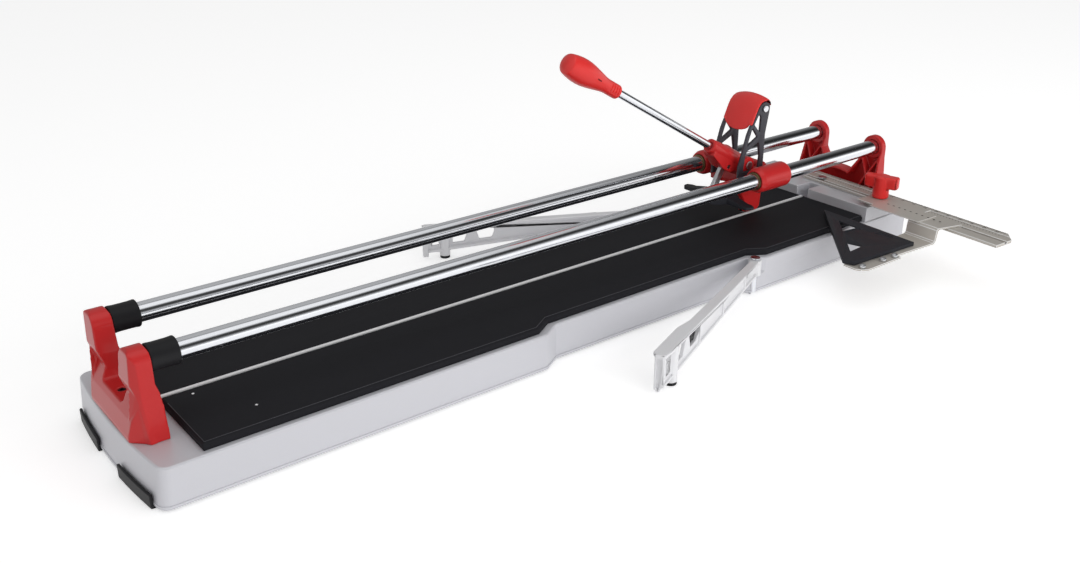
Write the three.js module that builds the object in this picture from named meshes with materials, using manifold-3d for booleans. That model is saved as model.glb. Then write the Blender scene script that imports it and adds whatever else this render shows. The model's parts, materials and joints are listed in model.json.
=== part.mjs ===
// Manual tile cutter: a ribbed aluminium base with two rubber tables, two chromed rails between
// red brackets, a carriage with a scoring wheel and a breaking lever, a fence with a swivelling
// scale bar and side stop, and two folding support arms.
// Millimetres. +X runs along the rails from the operator's end to the fence, +Y is to the left,
// +Z is up. The origin is on the underside of the base casting, below the cutting line, halfway
// along the base.
import * as THREE from "three";
import { mergeVertices } from "three/addons/utils/BufferGeometryUtils.js";
import Module from "manifold-3d";

const wasm = await Module();
wasm.setup();

// ---------------------------------------------------------------- driving dimensions
// Fits
const seatGap = 0.3; // between a piece and the turned or cut seat that holds it
const runningGap = 0.5; // between pieces that slide or turn on each other

// Base casting
const baseLength = 1184;
const baseHalfWidth = 122.5;
const baseHeight = 47.2;
const baseWall = 5;
const baseDeck = 4.5;
const baseCorner = 12;
const frontBow = 7; // how far the front edge bulges forward at its middle
const frontDraft = 4; // how far the front face leans out at the floor
const recessHalfWidth = 107.3; // half width between the two arm recesses
const recessLength = 336;
const recessJog = 25; // length of the slanted step at each end of a recess
const ribThickness = 4;
const spineThickness = 8;
const sideRibOffset = 56;
const ribPitch = 108;
const ribDepth = 40;

// Rubber tables and breaker strip
const tableGap = 1.2; // from the strip to each table
const tableHeight = 9;
const tableBevel = 3;
const tableInset = 7; // from the base's edge to the table's edge
const tableFront = 54; // from the base's front edge to the table
const stripWidth = 3.2;
const stripHeight = 10.3;

// Rails
const railRadius = 11;
const railSpacing = 108;
const railHeight = 131.2;
const railTube = 2.5; // wall of the tube
const bumperRadius = 15;
const bumperLength = 30;

// Front bracket
const frontBracketDepth = 34;
const frontHead = 23; // depth of an upright's head, which overhangs the waist below it
const frontWall = 5; // of the head in front of the rail's end
const frontWaist = 17; // depth there
const uprightHalfWidth = 16.5;
const uprightTaper = 6; // how much further in the uprights' inner sides are near the saddle
const frontBracketHalfWidth = 73;
const saddleHeight = 31; // above the deck
const saddleScrewRadius = 4.5;
const frontSetback = 2; // behind the base's front edge

// Rear bracket
const rearBracketDepth = 22;
const rearEarRadius = 18;
const rearEarDepth = 10;
const rearWeb = 6;
const rearSocketFloor = 3; // left behind the rail's end
const rearBracketHalfWidth = 76;
const rearArchHeight = 38; // above the deck
const rearRim = 4;
const rearRib = 3;

// Fence and scale bar
const fenceDepth = 73;
const fenceHeight = 23;
const fenceHalfWidth = 121;
const fenceFromRear = 102; // from the fence's front face to the base's rear end
const fenceNotchHalfWidth = 10;
const fenceNotchDepth = 30;
const barSwing = 3; // degrees between the bar and the square position
const barPivotBack = 47; // from the fence's front face to the bar's pivot
const barRear = 25; // from the pivot line to the bar's rear edge
const barFront = 11; // from the pivot line to its front edge over the fence
const barFrontWide = 27; // and outside the fence
const barThickness = 4.5;
const barLength = 331; // beyond the cutting line
const barTail = 30; // on the other side of the cutting line
const barGroove = 5;
const barGrooveX = -5.5;
const pivotPinRadius = 4;

// Side stop. Distances are from the bar's pivot line, towards the operator, and from the cutting
// line, along the bar.
const stopOuter = 250;
const stopShelfOuter = 260; // at the shelf's rear edge
const stopInner = 196;
const stopShelfInner = 102;
const stopPlateHeight = 57.5; // top of the low plate
const stopPlateFront = 213;
const stopPlateStep = 129; // where the low plate gets longer
const stopPlateExtra = 7; // by how much
const stopWall = 46;
const stopShelfRear = 4.5;
const stopThickness = 2.6;
const stopCorner = 14;
const squareBack = 82;
const squareFront = 206;
const squareOuter = 241;
const squareInner = 80;
const squareTip = 14; // of the blunt corner
const squareThickness = 5.5;
const squareBackRim = 20;
const squareRim = 14.5; // along the slanted side
const squareOuterRim = 25;
const squareEdge = 8; // of the solid edge round the thin web
const squareWeb = 2;
const squareRecess = 0.8;
const squareRibs = [29, 52, 84]; // across the web, from its outer edge
const squareLowWindow = 71; // from the back edge to the lower window
const rivetRadius = 4.5;
const rivetShank = 3;
const rivetInset = 5.5; // from the plate's outer end
const rivetPlaces = { front: -202, middle: -161, rear: -137 };
const scalePlateThickness = 1.2;
const scalePlateOuter = 219;
const knobAlong = 117;
const knobBack = 5;
const knobStemRadius = 12;
const knobStemHeight = 16;
const knobHeadHeight = 18;
const knobLobe = 25; // from the axis to a wing's end
const knobLobeWidth = 16;
const knobAngle = 110; // of its wings, in degrees
const studRadius = 4;

// Carriage. From here to the wheel, X values are from the carriage's own origin.
const carriageFromFence = 171; // from that origin to the fence's front face at rest
const housingFront = -8.5; // front face of the bearing housings
const housingLength = 62;
const housingRadius = 18;
const housingLip = 15.5; // radius of a housing at its front face
const housingChamfer = 6; // length of the slope behind it
const bushRadius = 12.8;
const bushLength = 16;
const bushProud = 2;
const coreFront = 7;
const coreRear = 58;
const coreHalfWidth = 22.7;
const coreBottom = 113;
const coreTop = 126; // floor of the trough under the lever
const cheekTop = 135;
const cheekLug = 12; // radius of a cheek round the lever pin
const wingBottom = 108;
const wingTop = 124;
const spacerX = 47;
const spacerRadius = 9;

// Truss plates and head
const trussThickness = 4;
const trussX = 36; // reference point of the plates' outline, near the top pin
const trussZ = 224;
const trussPinX = 34; // top pin
const trussPinZ = 223.5;
const trussPinRadius = 3;
const trussFoot = 124.6;
const coverCheek = 5; // thickness of the cover's inner cheeks
const coverBulge = 0.12; // share by which the cover's middle stands further forward than its edges
const coverCrown = 0.35; // and by which it stands higher
const coverTongue = 10; // how much lower its front edge is in the middle
const screwRadius = 2.5;
const screwHeadRadius = 4.5;

// Lever, breaker link and foot
const leverX = 13; // pivot
const leverZ = 143;
const leverTilt = 30.2; // degrees above level at rest
const leverPinRadius = 4;
const socketLength = 70;
const socketFrontRadius = 10.5;
const socketRearRadius = 13.5;
const socketHalfWidth = 13;
const rodRadius = 5.5;
const rodStart = 24; // from the pivot to the rod's end in the socket
const rodInGrip = 80;
const gripStart = 277;
const gripLength = 100;
const gripRadius = 17;
const linkX = -16; // link pin
const linkZ = 143;
const linkPinRadius = 3;
const linkThickness = 6;
const linkWidth = 12;
const hoodDrop = 20.5; // from the lever's axis to the lower edge of the hood over the link
const linkSwing = 10; // room in the hood for the link's swing, each way
const linkLean = 26; // how far the link's foot is in front of its pin
const footSole = 93; // underside of the breaker foot
const footHeight = 10;
const footHalfWidth = 66;
const footWingFront = -30; // front edge of the wings
const footWingRear = -14; // and their rear edge
const footNose = 10; // from the link's axis to the front of the foot's middle

// Scoring wheel
const wheelRadius = 9;
const wheelThickness = 3;
const wheelX = 35; // axle
const wheelClearance = 2; // above the breaker strip
const wheelAxleRadius = 2;
const holderHalfWidth = 5;
const holderRear = 68; // rear edge of the holder

// Support arms
const armHinge = 247; // X of the hinge
const armHingeOut = 121; // distance of the hinge from the cutting line
const armLength = 325;
const armTop = 50;
const armFlange = 4.5;
const armWeb = 5;
const armWebOffset = 1; // inner face of the web, from the arm's centre line
const armInner = 4; // flange's inner edge near the hinge
const armInnerWide = 9; // and near the tip
const armOuter = 10;
const armWideFrom = 240; // where the flange widens
const armRoot = 33; // underside of the beam at the hinge
const armTip = 8; // underside of the beam at the tip
const armBarrel = 9;
const armLedge = 27;
const armPinRadius = 4;
const armRib = 3;
const armSill = 9; // height of a window above the beam's underside
const armRightSwing = 22.2; // degrees out from the folded position
const armLeftSwing = 26.5;
const armFootRadius = 7.5;
const armFootFromTip = 33;

// Feet
const footDrop = 2; // below the casting
const frontFootInner = 30;
const frontFootOuter = 106;
const frontFootRise = 14;
const frontFootProud = 3.5;
const frontFootSole = 14;
const rearFootSize = 40;

// Fasteners
const boltRadius = 4;
const boltHeadRadius = 6.5;
const boltHeadHeight = 4;

// ---------------------------------------------------------------- derived places
const frontX = -baseLength / 2;
const rearX = baseLength / 2;
const cornerX = frontX + frontBow; // where the bowed front edge meets the sides
const carriageX = rearX - fenceFromRear - carriageFromFence;
const recessRear = armHinge + 22; // rear end of the arm recess
const recessFront = recessRear - recessLength - 2 * recessJog;
const deckZ = baseHeight;
const tableZ = deckZ + tableHeight;
const stripZ = deckZ + stripHeight;
const railY = railSpacing / 2;
const fenceX = rearX - fenceFromRear;
const fenceZ = deckZ + fenceHeight;
const barZ = fenceZ + seatGap;
const barTopZ = barZ + barThickness;
const pivotX = fenceX + barPivotBack;
const frontBracketX = frontX + frontSetback;
const bumperX = frontBracketX + frontBracketDepth - 4;
const railStart = bumperX - frontHead + frontWall;
const rearBracketX = rearX - rearBracketDepth;
const railEnd = rearX - rearSocketFloor - seatGap;
const floorZ = -footDrop;
const degrees = Math.PI / 180;

// ---------------------------------------------------------------- materials
const paint = (color, roughness, metalness = 0) =>
  new THREE.MeshStandardMaterial({ color, roughness, metalness });
const castAluminium = paint(0xc6c6cb, 0.42, 0.8);
const brightAluminium = paint(0xb4b0aa, 0.35, 0.9);
const chrome = paint(0xe6e8ec, 0.08, 1);
const steel = paint(0x9a9c9f, 0.35, 1);
const bronze = paint(0x8b7a58, 0.4, 0.9);
const redEnamel = paint(0xc02a2c, 0.38);
const redPlastic = paint(0xd8302c, 0.3);
const blackRubber = paint(0x1f2023, 0.85);
const blackPlastic = paint(0x2c2d32, 0.55);
const greyEnamel = paint(0x3a3b43, 0.45, 0.3);
const carbide = paint(0x707276, 0.25, 1);

// ---------------------------------------------------------------- solids
function solidOf(geometry) {
  const bare = geometry.index ? geometry.toNonIndexed() : geometry;
  bare.deleteAttribute("normal");
  bare.deleteAttribute("uv");
  const merged = mergeVertices(bare, 1e-4);
  return new wasm.Manifold(
    new wasm.Mesh({
      numProp: 3,
      vertProperties: new Float32Array(merged.attributes.position.array),
      triVerts: new Uint32Array(merged.index.array),
    }),
  );
}

function geometryOf(solid) {
  const mesh = solid.getMesh();
  const geometry = new THREE.BufferGeometry();
  geometry.setAttribute("position", new THREE.BufferAttribute(mesh.vertProperties, 3));
  geometry.setIndex(new THREE.BufferAttribute(mesh.triVerts, 1));
  geometry.computeVertexNormals();
  return geometry;
}

const join = (first, ...others) => others.reduce((all, next) => all.add(next), first);
const cut = (first, ...others) => others.reduce((all, next) => all.subtract(next), first);

function place(group, name, material, solid) {
  const mesh = new THREE.Mesh(geometryOf(solid), material);
  mesh.name = name;
  group.add(mesh);
  return mesh;
}

const shapeOf = (points) => new THREE.Shape(points.map(([x, y]) => new THREE.Vector2(x, y)));
const asShape = (outline) => (Array.isArray(outline) ? shapeOf(outline) : outline);

// Prisms: an outline in the plane across the axis, swept from one end to the other.
const alongX = new THREE.Matrix4().makeBasis(
  new THREE.Vector3(0, 1, 0),
  new THREE.Vector3(0, 0, 1),
  new THREE.Vector3(1, 0, 0),
);

function prismZ(outline, from, to, segments = 10) {
  const options = { depth: to - from, bevelEnabled: false, curveSegments: segments };
  return solidOf(new THREE.ExtrudeGeometry(asShape(outline), options).translate(0, 0, from));
}

function prismX(outline, from, to, segments = 10) {
  const options = { depth: to - from, bevelEnabled: false, curveSegments: segments };
  const geometry = new THREE.ExtrudeGeometry(asShape(outline), options);
  return solidOf(geometry.applyMatrix4(alongX).translate(from, 0, 0));
}

function prismY(outline, from, to, segments = 10) {
  const options = { depth: to - from, bevelEnabled: false, curveSegments: segments };
  const geometry = new THREE.ExtrudeGeometry(asShape(outline), options);
  return solidOf(geometry.rotateX(Math.PI / 2).translate(0, to, 0));
}

function block(x0, x1, y0, y1, z0, z1) {
  const geometry = new THREE.BoxGeometry(x1 - x0, y1 - y0, z1 - z0);
  return solidOf(geometry.translate((x0 + x1) / 2, (y0 + y1) / 2, (z0 + z1) / 2));
}

// Cylinders and turned pieces about an axis parallel to X, Y or Z.
function turn(axis, geometry, at) {
  if (axis === "x") geometry.rotateZ(-Math.PI / 2);
  if (axis === "z") geometry.rotateX(Math.PI / 2);
  return solidOf(geometry.translate(...at));
}

function cylinder(axis, radius, from, to, [a, b], sides = 24) {
  const middle = (from + to) / 2;
  const at = { x: [middle, a, b], y: [a, middle, b], z: [a, b, middle] }[axis];
  return turn(axis, new THREE.CylinderGeometry(radius, radius, to - from, sides), at);
}

// A skin through outlines with as many points each, one above the other, closed at both ends.
function loftGeometry(outlines, levels) {
  const count = outlines[0].length;
  const last = (outlines.length - 1) * count;
  const positions = outlines.flatMap((points, k) => points.map(([x, y]) => [x, y, levels[k]]));
  const lids = (points) =>
    THREE.ShapeUtils.triangulateShape(
      points.map(([x, y]) => new THREE.Vector2(x, y)),
      [],
    );
  const index = [];
  for (const [a, b, c] of lids(outlines[0])) index.push(a, c, b);
  for (const [a, b, c] of lids(outlines.at(-1))) index.push(a + last, b + last, c + last);
  for (let low = 0; low < last; low += count) {
    for (let i = 0; i < count; i++) {
      const [a, b] = [low + i, low + ((i + 1) % count)];
      index.push(a, b, b + count, a, b + count, a + count);
    }
  }
  const geometry = new THREE.BufferGeometry();
  geometry.setAttribute("position", new THREE.Float32BufferAttribute(positions.flat(), 3));
  geometry.setIndex(index);
  return geometry;
}

const loft = (low, high, z0, z1) => solidOf(loftGeometry([low, high], [z0, z1]));

const sides = [
  ["left", 1],
  ["right", -1],
];
// The stretch from a to b on the left, or its mirror image on the right.
const onSide = (side, a, b) => (side > 0 ? [a, b] : [-b, -a]);
const mirrored = (points) => points.map(([x, y]) => [x, -y]).reverse();

// A convex outline with each corner rounded by the same radius.
function rounded(points, radius, steps = 4) {
  const result = [];
  points.forEach((point, i) => {
    const here = new THREE.Vector2(...point);
    const before = new THREE.Vector2(...points.at(i - 1)).sub(here).normalize();
    const after = new THREE.Vector2(...points[(i + 1) % points.length]).sub(here).normalize();
    const half = Math.acos(THREE.MathUtils.clamp(before.dot(after), -1, 1)) / 2;
    const reach = radius / Math.tan(half);
    const start = here.clone().addScaledVector(before, reach);
    const end = here.clone().addScaledVector(after, reach);
    const curve = new THREE.QuadraticBezierCurve(start, here, end);
    for (const p of curve.getPoints(steps)) result.push([p.x, p.y]);
  });
  return result;
}

// ---------------------------------------------------------------- base
// Outline of the base in plan, shrunk by inset and with its front edge moved out by draft.
// It runs anticlockwise: along the right side, round the rear, and back along the left.
function basePlan(inset, draft = 0) {
  const wide = baseHalfWidth - inset;
  const narrow = recessHalfWidth - inset;
  const front = cornerX + inset - draft;
  const rear = rearX - inset;
  const bow = frontBow;
  const radius = Math.max(baseCorner - inset, 1);
  const corner = [];
  for (let i = 0; i <= 5; i++) {
    const turnBy = (i * 90) / 5;
    corner.push([
      front + radius * (1 - Math.sin(turnBy * degrees)),
      wide - radius * (1 - Math.cos(turnBy * degrees)),
    ]);
  }
  const edge = [];
  const steps = 6;
  const halfChord = wide - radius;
  for (let i = 1; i <= steps; i++) {
    const y = halfChord * (1 - i / steps);
    edge.push([front - bow * (1 - (y / halfChord) ** 2), y]);
  }
  const left = [
    [rear, wide - 3],
    [rear - 3, wide],
    [recessRear + inset, wide],
    [recessRear - recessJog + inset, narrow],
    [recessFront + recessJog - inset, narrow],
    [recessFront - inset, wide],
    ...corner,
    ...edge,
  ];
  return [...left, ...mirrored(left.slice(0, -1))];
}

function baseCasting() {
  const outer = loft(basePlan(0, frontDraft), basePlan(0), 0, deckZ);
  const hollow = loft(
    basePlan(baseWall, frontDraft),
    basePlan(baseWall),
    -1,
    deckZ - baseDeck,
  );
  const shell = cut(outer, hollow);
  const ribs = [-sideRibOffset, 0, sideRibOffset].map((y) => {
    const half = (y === 0 ? spineThickness : ribThickness) / 2;
    const low = y === 0 ? 0 : deckZ - ribDepth;
    return block(frontX, rearX - 1, y - half, y + half, low, deckZ - 1);
  });
  const count = Math.floor(baseLength / ribPitch);
  for (let i = 1; i < count; i++) {
    const x = frontX + (i * baseLength) / count;
    const half = ribThickness / 2;
    const reach = baseHalfWidth;
    ribs.push(block(x - half, x + half, -reach, reach, deckZ - ribDepth, deckZ - 1));
  }
  const ledges = [1, -1].map((side) => {
    const ledge = [
      [recessRear + baseWall, side * (recessHalfWidth - baseWall)],
      [recessRear + baseWall, side * baseHalfWidth],
      [armHinge - armBarrel + 3, side * baseHalfWidth],
      [armHinge - armBarrel - 7, side * recessHalfWidth],
      [armHinge - armBarrel - 7, side * (recessHalfWidth - baseWall)],
    ];
    return prismZ(side > 0 ? ledge : ledge.reverse(), 0, armLedge);
  });
  const solid = outer.intersect(join(shell, ...ribs)).add(join(...ledges));
  const boltHole = (at) => [
    cylinder("z", boltRadius + seatGap, -1, deckZ + 1, at),
    cylinder("z", boltHeadRadius + 1, -1, deckZ - baseDeck, at),
  ];
  const holes = [1, -1].flatMap((side) => [
    cylinder("z", armPinRadius + seatGap, -1, armLedge + 1, [armHinge, side * armHingeOut]),
    ...boltHole([frontBoltX, side * frontBoltY]),
    ...boltHole([rearBoltX, side * rearBoltY]),
  ]);
  return cut(solid, ...holes);
}

// Outline of the left table at its foot, shrunk by inset.
function tablePlan(inset) {
  const wide = baseHalfWidth - tableInset - inset;
  const narrow = recessHalfWidth - tableInset - inset;
  const inner = stripWidth / 2 + tableGap + inset * 0.25;
  const front = frontX + tableFront + inset;
  const rear = fenceX - seatGap - inset * 0.25;
  return [
    [rear, inner],
    [rear, wide],
    [recessRear + tableInset + inset, wide],
    [recessRear - recessJog + tableInset + inset, narrow],
    [recessFront + recessJog - tableInset - inset, narrow],
    [recessFront - tableInset - inset, wide],
    [front, wide],
    [front, inner],
  ];
}

function tablePad() {
  const shoulder = deckZ + tableHeight - tableBevel;
  const sheet = loft(tablePlan(0), tablePlan(0), deckZ, shoulder);
  return join(sheet, loft(tablePlan(0), tablePlan(tableBevel), shoulder, tableZ));
}

// ---------------------------------------------------------------- brackets
const frontBoltX = frontBracketX + frontBracketDepth * 0.55;
const frontBoltY = railY - 6;
const rearBoltX = rearX - rearBracketDepth / 2;
const rearBoltY = railY;
const boltReach = 14; // of a bolt's shank into its bracket
const boltBore = (at) =>
  cylinder("z", boltRadius + seatGap, deckZ - 1, deckZ + boltReach + 1, at);

// Front bracket: a U seen from the front. Seen from the side, each upright has a head over a waist.
function frontBracket() {
  const top = railHeight;
  const ear = uprightHalfWidth;
  const foot = frontBracketHalfWidth;
  const saddle = deckZ + saddleHeight;
  const inner = railY - ear;
  const throat = inner - uprightTaper;
  const right = [
    [throat - 6, saddle],
    [throat - 2, saddle + 2],
    [throat - 1, saddle + 8],
    [throat, top - 25],
    [inner, top],
  ];
  const u = new THREE.Shape();
  u.moveTo(-foot, deckZ);
  u.lineTo(-foot, deckZ + 12);
  u.lineTo(-railY - ear, deckZ + 48);
  u.lineTo(-railY - ear, top);
  u.absarc(-railY, top, ear, Math.PI, 0, true);
  for (const [y, z] of right.slice(0, -1).reverse()) u.lineTo(-y, z);
  for (const [y, z] of right) u.lineTo(y, z);
  u.absarc(railY, top, ear, Math.PI, 0, true);
  u.lineTo(railY + ear, deckZ + 48);
  u.lineTo(foot, deckZ + 12);
  u.lineTo(foot, deckZ);
  const back = frontBracketX + frontBracketDepth;
  const face = prismX(u, frontX, back + 10, 8);
  const side = prismY(
    [
      [frontBracketX - 1, deckZ],
      [back + 2, deckZ],
      [back + 1, deckZ + 36],
      [back - 1, deckZ + 52],
      [bumperX, deckZ + 62],
      [bumperX, top + 11],
      [bumperX - 3, top + ear + 1],
      [bumperX - frontWaist, top + ear + 1],
      [bumperX - frontHead + 2, top + ear - 3],
      [bumperX - frontHead, top - 20],
      [bumperX - frontWaist, deckZ + 45],
      [frontBracketX + 4, deckZ + 24],
    ],
    -foot - 1,
    foot + 1,
  );
  const plan = prismZ(
    [
      [back + 10, -foot],
      [back + 10, foot],
      [cornerX + 12, foot],
      [cornerX - 5, railY + 2],
      [frontBracketX, 20],
      [frontBracketX, -20],
      [cornerX - 5, -railY - 2],
      [cornerX + 12, -foot],
    ],
    deckZ,
    top + ear + 1,
  );
  // A toe in front of each upright, wide on the deck and narrowing upwards.
  const low = [
    [frontBracketX + 1, railY - 3],
    [frontBracketX + 22, railY - 3],
    [frontBracketX + 22, foot + 1],
    [frontBracketX + 16, foot + 1],
  ];
  const high = [
    [frontBracketX + 7, railY + 4],
    [frontBracketX + 20, railY + 4],
    [frontBracketX + 20, railY + 13],
    [frontBracketX + 11, railY + 13],
  ];
  const toes = [
    loft(low, high, deckZ, deckZ + 58),
    loft(mirrored(low), mirrored(high), deckZ, deckZ + 58),
  ];
  const screwAt = [frontBracketX + frontBracketDepth / 2, 0];
  const bores = [1, -1].flatMap((s) => [
    alongRail(s, railRadius + seatGap, railStart - seatGap, back + 20),
    boltBore([frontBoltX, s * frontBoltY]),
  ]);
  const recess = cylinder("z", saddleScrewRadius, saddle - 4, saddle + 1, screwAt, 20);
  return cut(join(face.intersect(side).intersect(plan), ...toes), ...bores, recess);
}

// Rear bracket: two ears on a low arch, hollow towards the rails and stiffened by ribs.
function rearOutline(inset) {
  const ear = rearEarRadius - inset;
  const foot = rearBracketHalfWidth - inset;
  const arch = deckZ + rearArchHeight - inset;
  const low = deckZ + inset;
  const shape = new THREE.Shape();
  shape.moveTo(-foot, low);
  shape.lineTo(-foot, deckZ + 22);
  shape.lineTo(-railY - ear, railHeight - 14);
  shape.lineTo(-railY - ear, railHeight);
  shape.absarc(-railY, railHeight, ear, Math.PI, 0, true);
  shape.lineTo(-railY + ear, railHeight - 20);
  shape.lineTo(-20 - inset * 0.5, arch);
  shape.quadraticCurveTo(0, arch + 6, 20 + inset * 0.5, arch);
  shape.lineTo(railY - ear, railHeight - 20);
  shape.lineTo(railY - ear, railHeight);
  shape.absarc(railY, railHeight, ear, Math.PI, 0, true);
  shape.lineTo(railY + ear, railHeight - 14);
  shape.lineTo(foot, deckZ + 22);
  shape.lineTo(foot, low);
  return shape;
}

function rearBracket() {
  const outer = prismX(rearOutline(0), rearBracketX, rearX, 8);
  const pocket = prismX(rearOutline(rearRim), rearBracketX - 1, rearX - rearWeb, 8);
  const parts = [];
  for (const s of [1, -1]) {
    const ear = [s * railY, railHeight];
    parts.push(cylinder("x", rearEarRadius, rearX - rearEarDepth, rearX - 1, ear, 28));
    const boss = [rearBoltX, s * rearBoltY];
    parts.push(cylinder("z", boltRadius + 4, deckZ, deckZ + boltReach + 4, boss));
    for (const lean of [-1, 1]) {
      const rib = new THREE.BoxGeometry(rearBracketDepth - 1, rearRib, railHeight - deckZ);
      rib.rotateX(lean * 28 * degrees);
      rib.translate(rearX - rearBracketDepth / 2, s * railY, (deckZ + railHeight) / 2 - 2);
      parts.push(solidOf(rib));
    }
  }
  // Seen from the side, the front edge leans back from the foot to the ears.
  const side = prismY(
    [
      [rearBracketX, deckZ],
      [rearX, deckZ],
      [rearX, railHeight + rearEarRadius + 1],
      [rearX - rearEarDepth, railHeight + rearEarRadius + 1],
      [rearX - rearEarDepth, railHeight - 6],
      [rearX - rearEarDepth - 6, railHeight - 22],
      [rearBracketX, deckZ + 32],
    ],
    -rearBracketHalfWidth - 1,
    rearBracketHalfWidth + 1,
  );
  const filled = outer.intersect(side).intersect(join(cut(outer, pocket), ...parts));
  const bores = [1, -1].flatMap((s) => [
    alongRail(s, railRadius + seatGap, rearBracketX - 1, railEnd + seatGap),
    boltBore([rearBoltX, s * rearBoltY]),
  ]);
  return cut(filled, ...bores);
}

const rail = (side) =>
  cut(
    alongRail(side, railRadius, railStart, railEnd),
    alongRail(side, railRadius - railTube, railStart - 1, railEnd + 1, 16),
  );

// A round length along one rail's axis.
const alongRail = (side, radius, from, to, steps = 32) =>
  cylinder("x", radius, from, to, [side * railY, railHeight], steps);

const bumper = (side) =>
  cut(
    alongRail(side, bumperRadius, bumperX, bumperX + bumperLength, 28),
    alongRail(side, railRadius + seatGap, bumperX - 1, bumperX + bumperLength + 1),
  );

// A bolt with its head below the deck and its shank up into a bracket.
const deckBolt = (x, y) =>
  join(
    cylinder("z", boltHeadRadius, deckZ - baseDeck - boltHeadHeight, deckZ - baseDeck, [x, y], 6),
    cylinder("z", boltRadius, deckZ - baseDeck - 1, deckZ + boltReach, [x, y], 20),
  );

// ---------------------------------------------------------------- feet
// A strip that wraps the bowed lower front edge, drawn on the left.
function frontFoot() {
  const edgeX = (y) => {
    const halfChord = baseHalfWidth - baseCorner;
    return cornerX - frontDraft - frontBow * (1 - Math.min(y / halfChord, 1) ** 2);
  };
  const band = (out, back) => {
    const width = frontFootOuter - frontFootInner;
    const ys = [0, 1, 2, 3, 4].map((i) => frontFootInner + (i * width) / 4);
    const clamp = ys.map((y) => Math.min(y, baseHalfWidth - baseCorner));
    const outer = ys.map((y, i) => [edgeX(clamp[i]) - out, y]);
    const inner = ys.map((y, i) => [edgeX(clamp[i]) + back, y]).reverse();
    return [...outer, ...inner].reverse();
  };
  const sole = prismZ(band(frontFootProud, frontFootSole), floorZ, 0);
  return join(sole, prismZ(band(frontFootProud, -seatGap), floorZ, frontFootRise));
}

function rearFoot() {
  const x1 = rearX - baseWall / 2;
  const y1 = baseHalfWidth - baseWall / 2;
  return block(x1 - rearFootSize, x1, y1 - rearFootSize * 0.4, y1, floorZ, 0);
}

// ---------------------------------------------------------------- fence and scale bar
function fenceBlock() {
  const body = block(fenceX, fenceX + fenceDepth, -fenceHalfWidth, fenceHalfWidth, deckZ, fenceZ);
  const notch = block(
    fenceX - 1,
    fenceX + fenceNotchDepth,
    -fenceNotchHalfWidth,
    fenceNotchHalfWidth,
    deckZ - 1,
    fenceZ + 1,
  );
  const pinHole = cylinder("z", pivotPinRadius + seatGap, fenceZ - 15, fenceZ + 1, [pivotX, 0]);
  return cut(body, notch, pinHole);
}

// The bar and all that it carries are drawn square to the rails about the pivot, with the bar
// running towards -Y, and the group is then turned by barSwing.
function scaleBar() {
  const outside = fenceHalfWidth + 6;
  const plan = [
    [-barFront, barTail],
    [-barFront, -outside],
    [-barFrontWide, -outside - 6],
    [-barFrontWide, -barLength],
    [barRear - 18, -barLength],
    [barRear, -barLength + 17],
    [barRear, barTail],
  ];
  const grooves = [
    [barGrooveX, barGroove],
    [barRear - 11, 2],
  ].map(([x, width]) =>
    block(x - width / 2, x + width / 2, -barLength - 1, barTail + 1, barTopZ - 3, barTopZ + 1),
  );
  const hole = cylinder("z", pivotPinRadius + runningGap / 2, barZ - 1, barTopZ + 1, [0, 0]);
  return cut(prismZ(plan, barZ, barTopZ), ...grooves, hole);
}

function pivotPin() {
  const cap = barTopZ + runningGap;
  return join(
    cylinder("z", pivotPinRadius, fenceZ - 14, cap, [pivotX, 0], 20),
    cylinder("z", pivotPinRadius + 3, cap, cap + 2.5, [pivotX, 0], 20),
  );
}

// ---------------------------------------------------------------- side stop
const shelfZ = barTopZ + seatGap; // underside of the stop's shelf
const shelfTopZ = shelfZ + stopThickness;
const plateOuter = stopOuter + stopPlateExtra;

// A low plate outside the base, a wall up to the bar's height, and a shelf over the bar with a
// lip in the bar's groove.
function stopCasting() {
  const t = stopThickness;
  const wall = -stopWall;
  const low = stopPlateHeight;
  const rear = -stopShelfRear;
  const profile = [
    [-stopPlateFront, low - t],
    [wall - 4, low - t],
    [wall, low - t + 3],
    [wall + 2, shelfZ - 3],
    [wall + 4, shelfZ],
    [rear - t, shelfZ],
    [rear - t, shelfZ - 2],
    [rear, shelfZ - 2],
    [rear, shelfTopZ],
    [wall + 2, shelfTopZ],
    [wall + 2 - t, shelfTopZ - 3],
    [wall - t, low + 2],
    [wall - t - 3, low],
    [-stopPlateFront, low],
  ];
  const hat = prismY(profile, -stopShelfOuter - 5, -stopInner);
  const front = [
    [-stopPlateFront + stopCorner, -plateOuter - 3],
    [-stopPlateStep, -plateOuter],
    [-stopPlateStep, -stopInner],
    [-stopPlateStep - 4, -stopInner],
    [-stopPlateFront, -plateOuter + 2 * stopCorner],
    [-stopPlateFront, -plateOuter + stopCorner * 0.7],
    [-stopPlateFront + stopCorner * 0.3, -plateOuter + stopCorner * 0.1],
  ];
  const back = [
    [-stopPlateStep - stopCorner, -stopOuter + 1],
    [wall, -stopOuter],
    [rear + 1, -stopShelfOuter],
    [rear + 1, -stopInner],
    [-stopPlateStep - stopCorner, -stopInner - 14],
  ];
  const keep = join(
    prismZ(front, low - t - 1, low + 1),
    prismZ(back, low - t - 1, shelfTopZ + 1),
  );
  const shelfFront = wall + 8;
  const shelfRear = knobStemRadius - 2;
  const shelf = block(shelfFront, shelfRear, -stopInner - 1, -stopShelfInner, shelfZ, shelfTopZ);
  const knobAt = [-knobBack, -knobAlong];
  const hole = cylinder("z", studRadius + seatGap, shelfZ - 1, shelfTopZ + 1, knobAt);
  const rivetHoles = Object.values(rivetPlaces).map((x) => {
    const at = [x, -plateOuter + rivetInset];
    return cylinder("z", rivetShank + seatGap, low - t - 1, low + 1, at, 16);
  });
  return cut(join(hat.intersect(keep), shelf), hole, ...rivetHoles);
}

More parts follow.
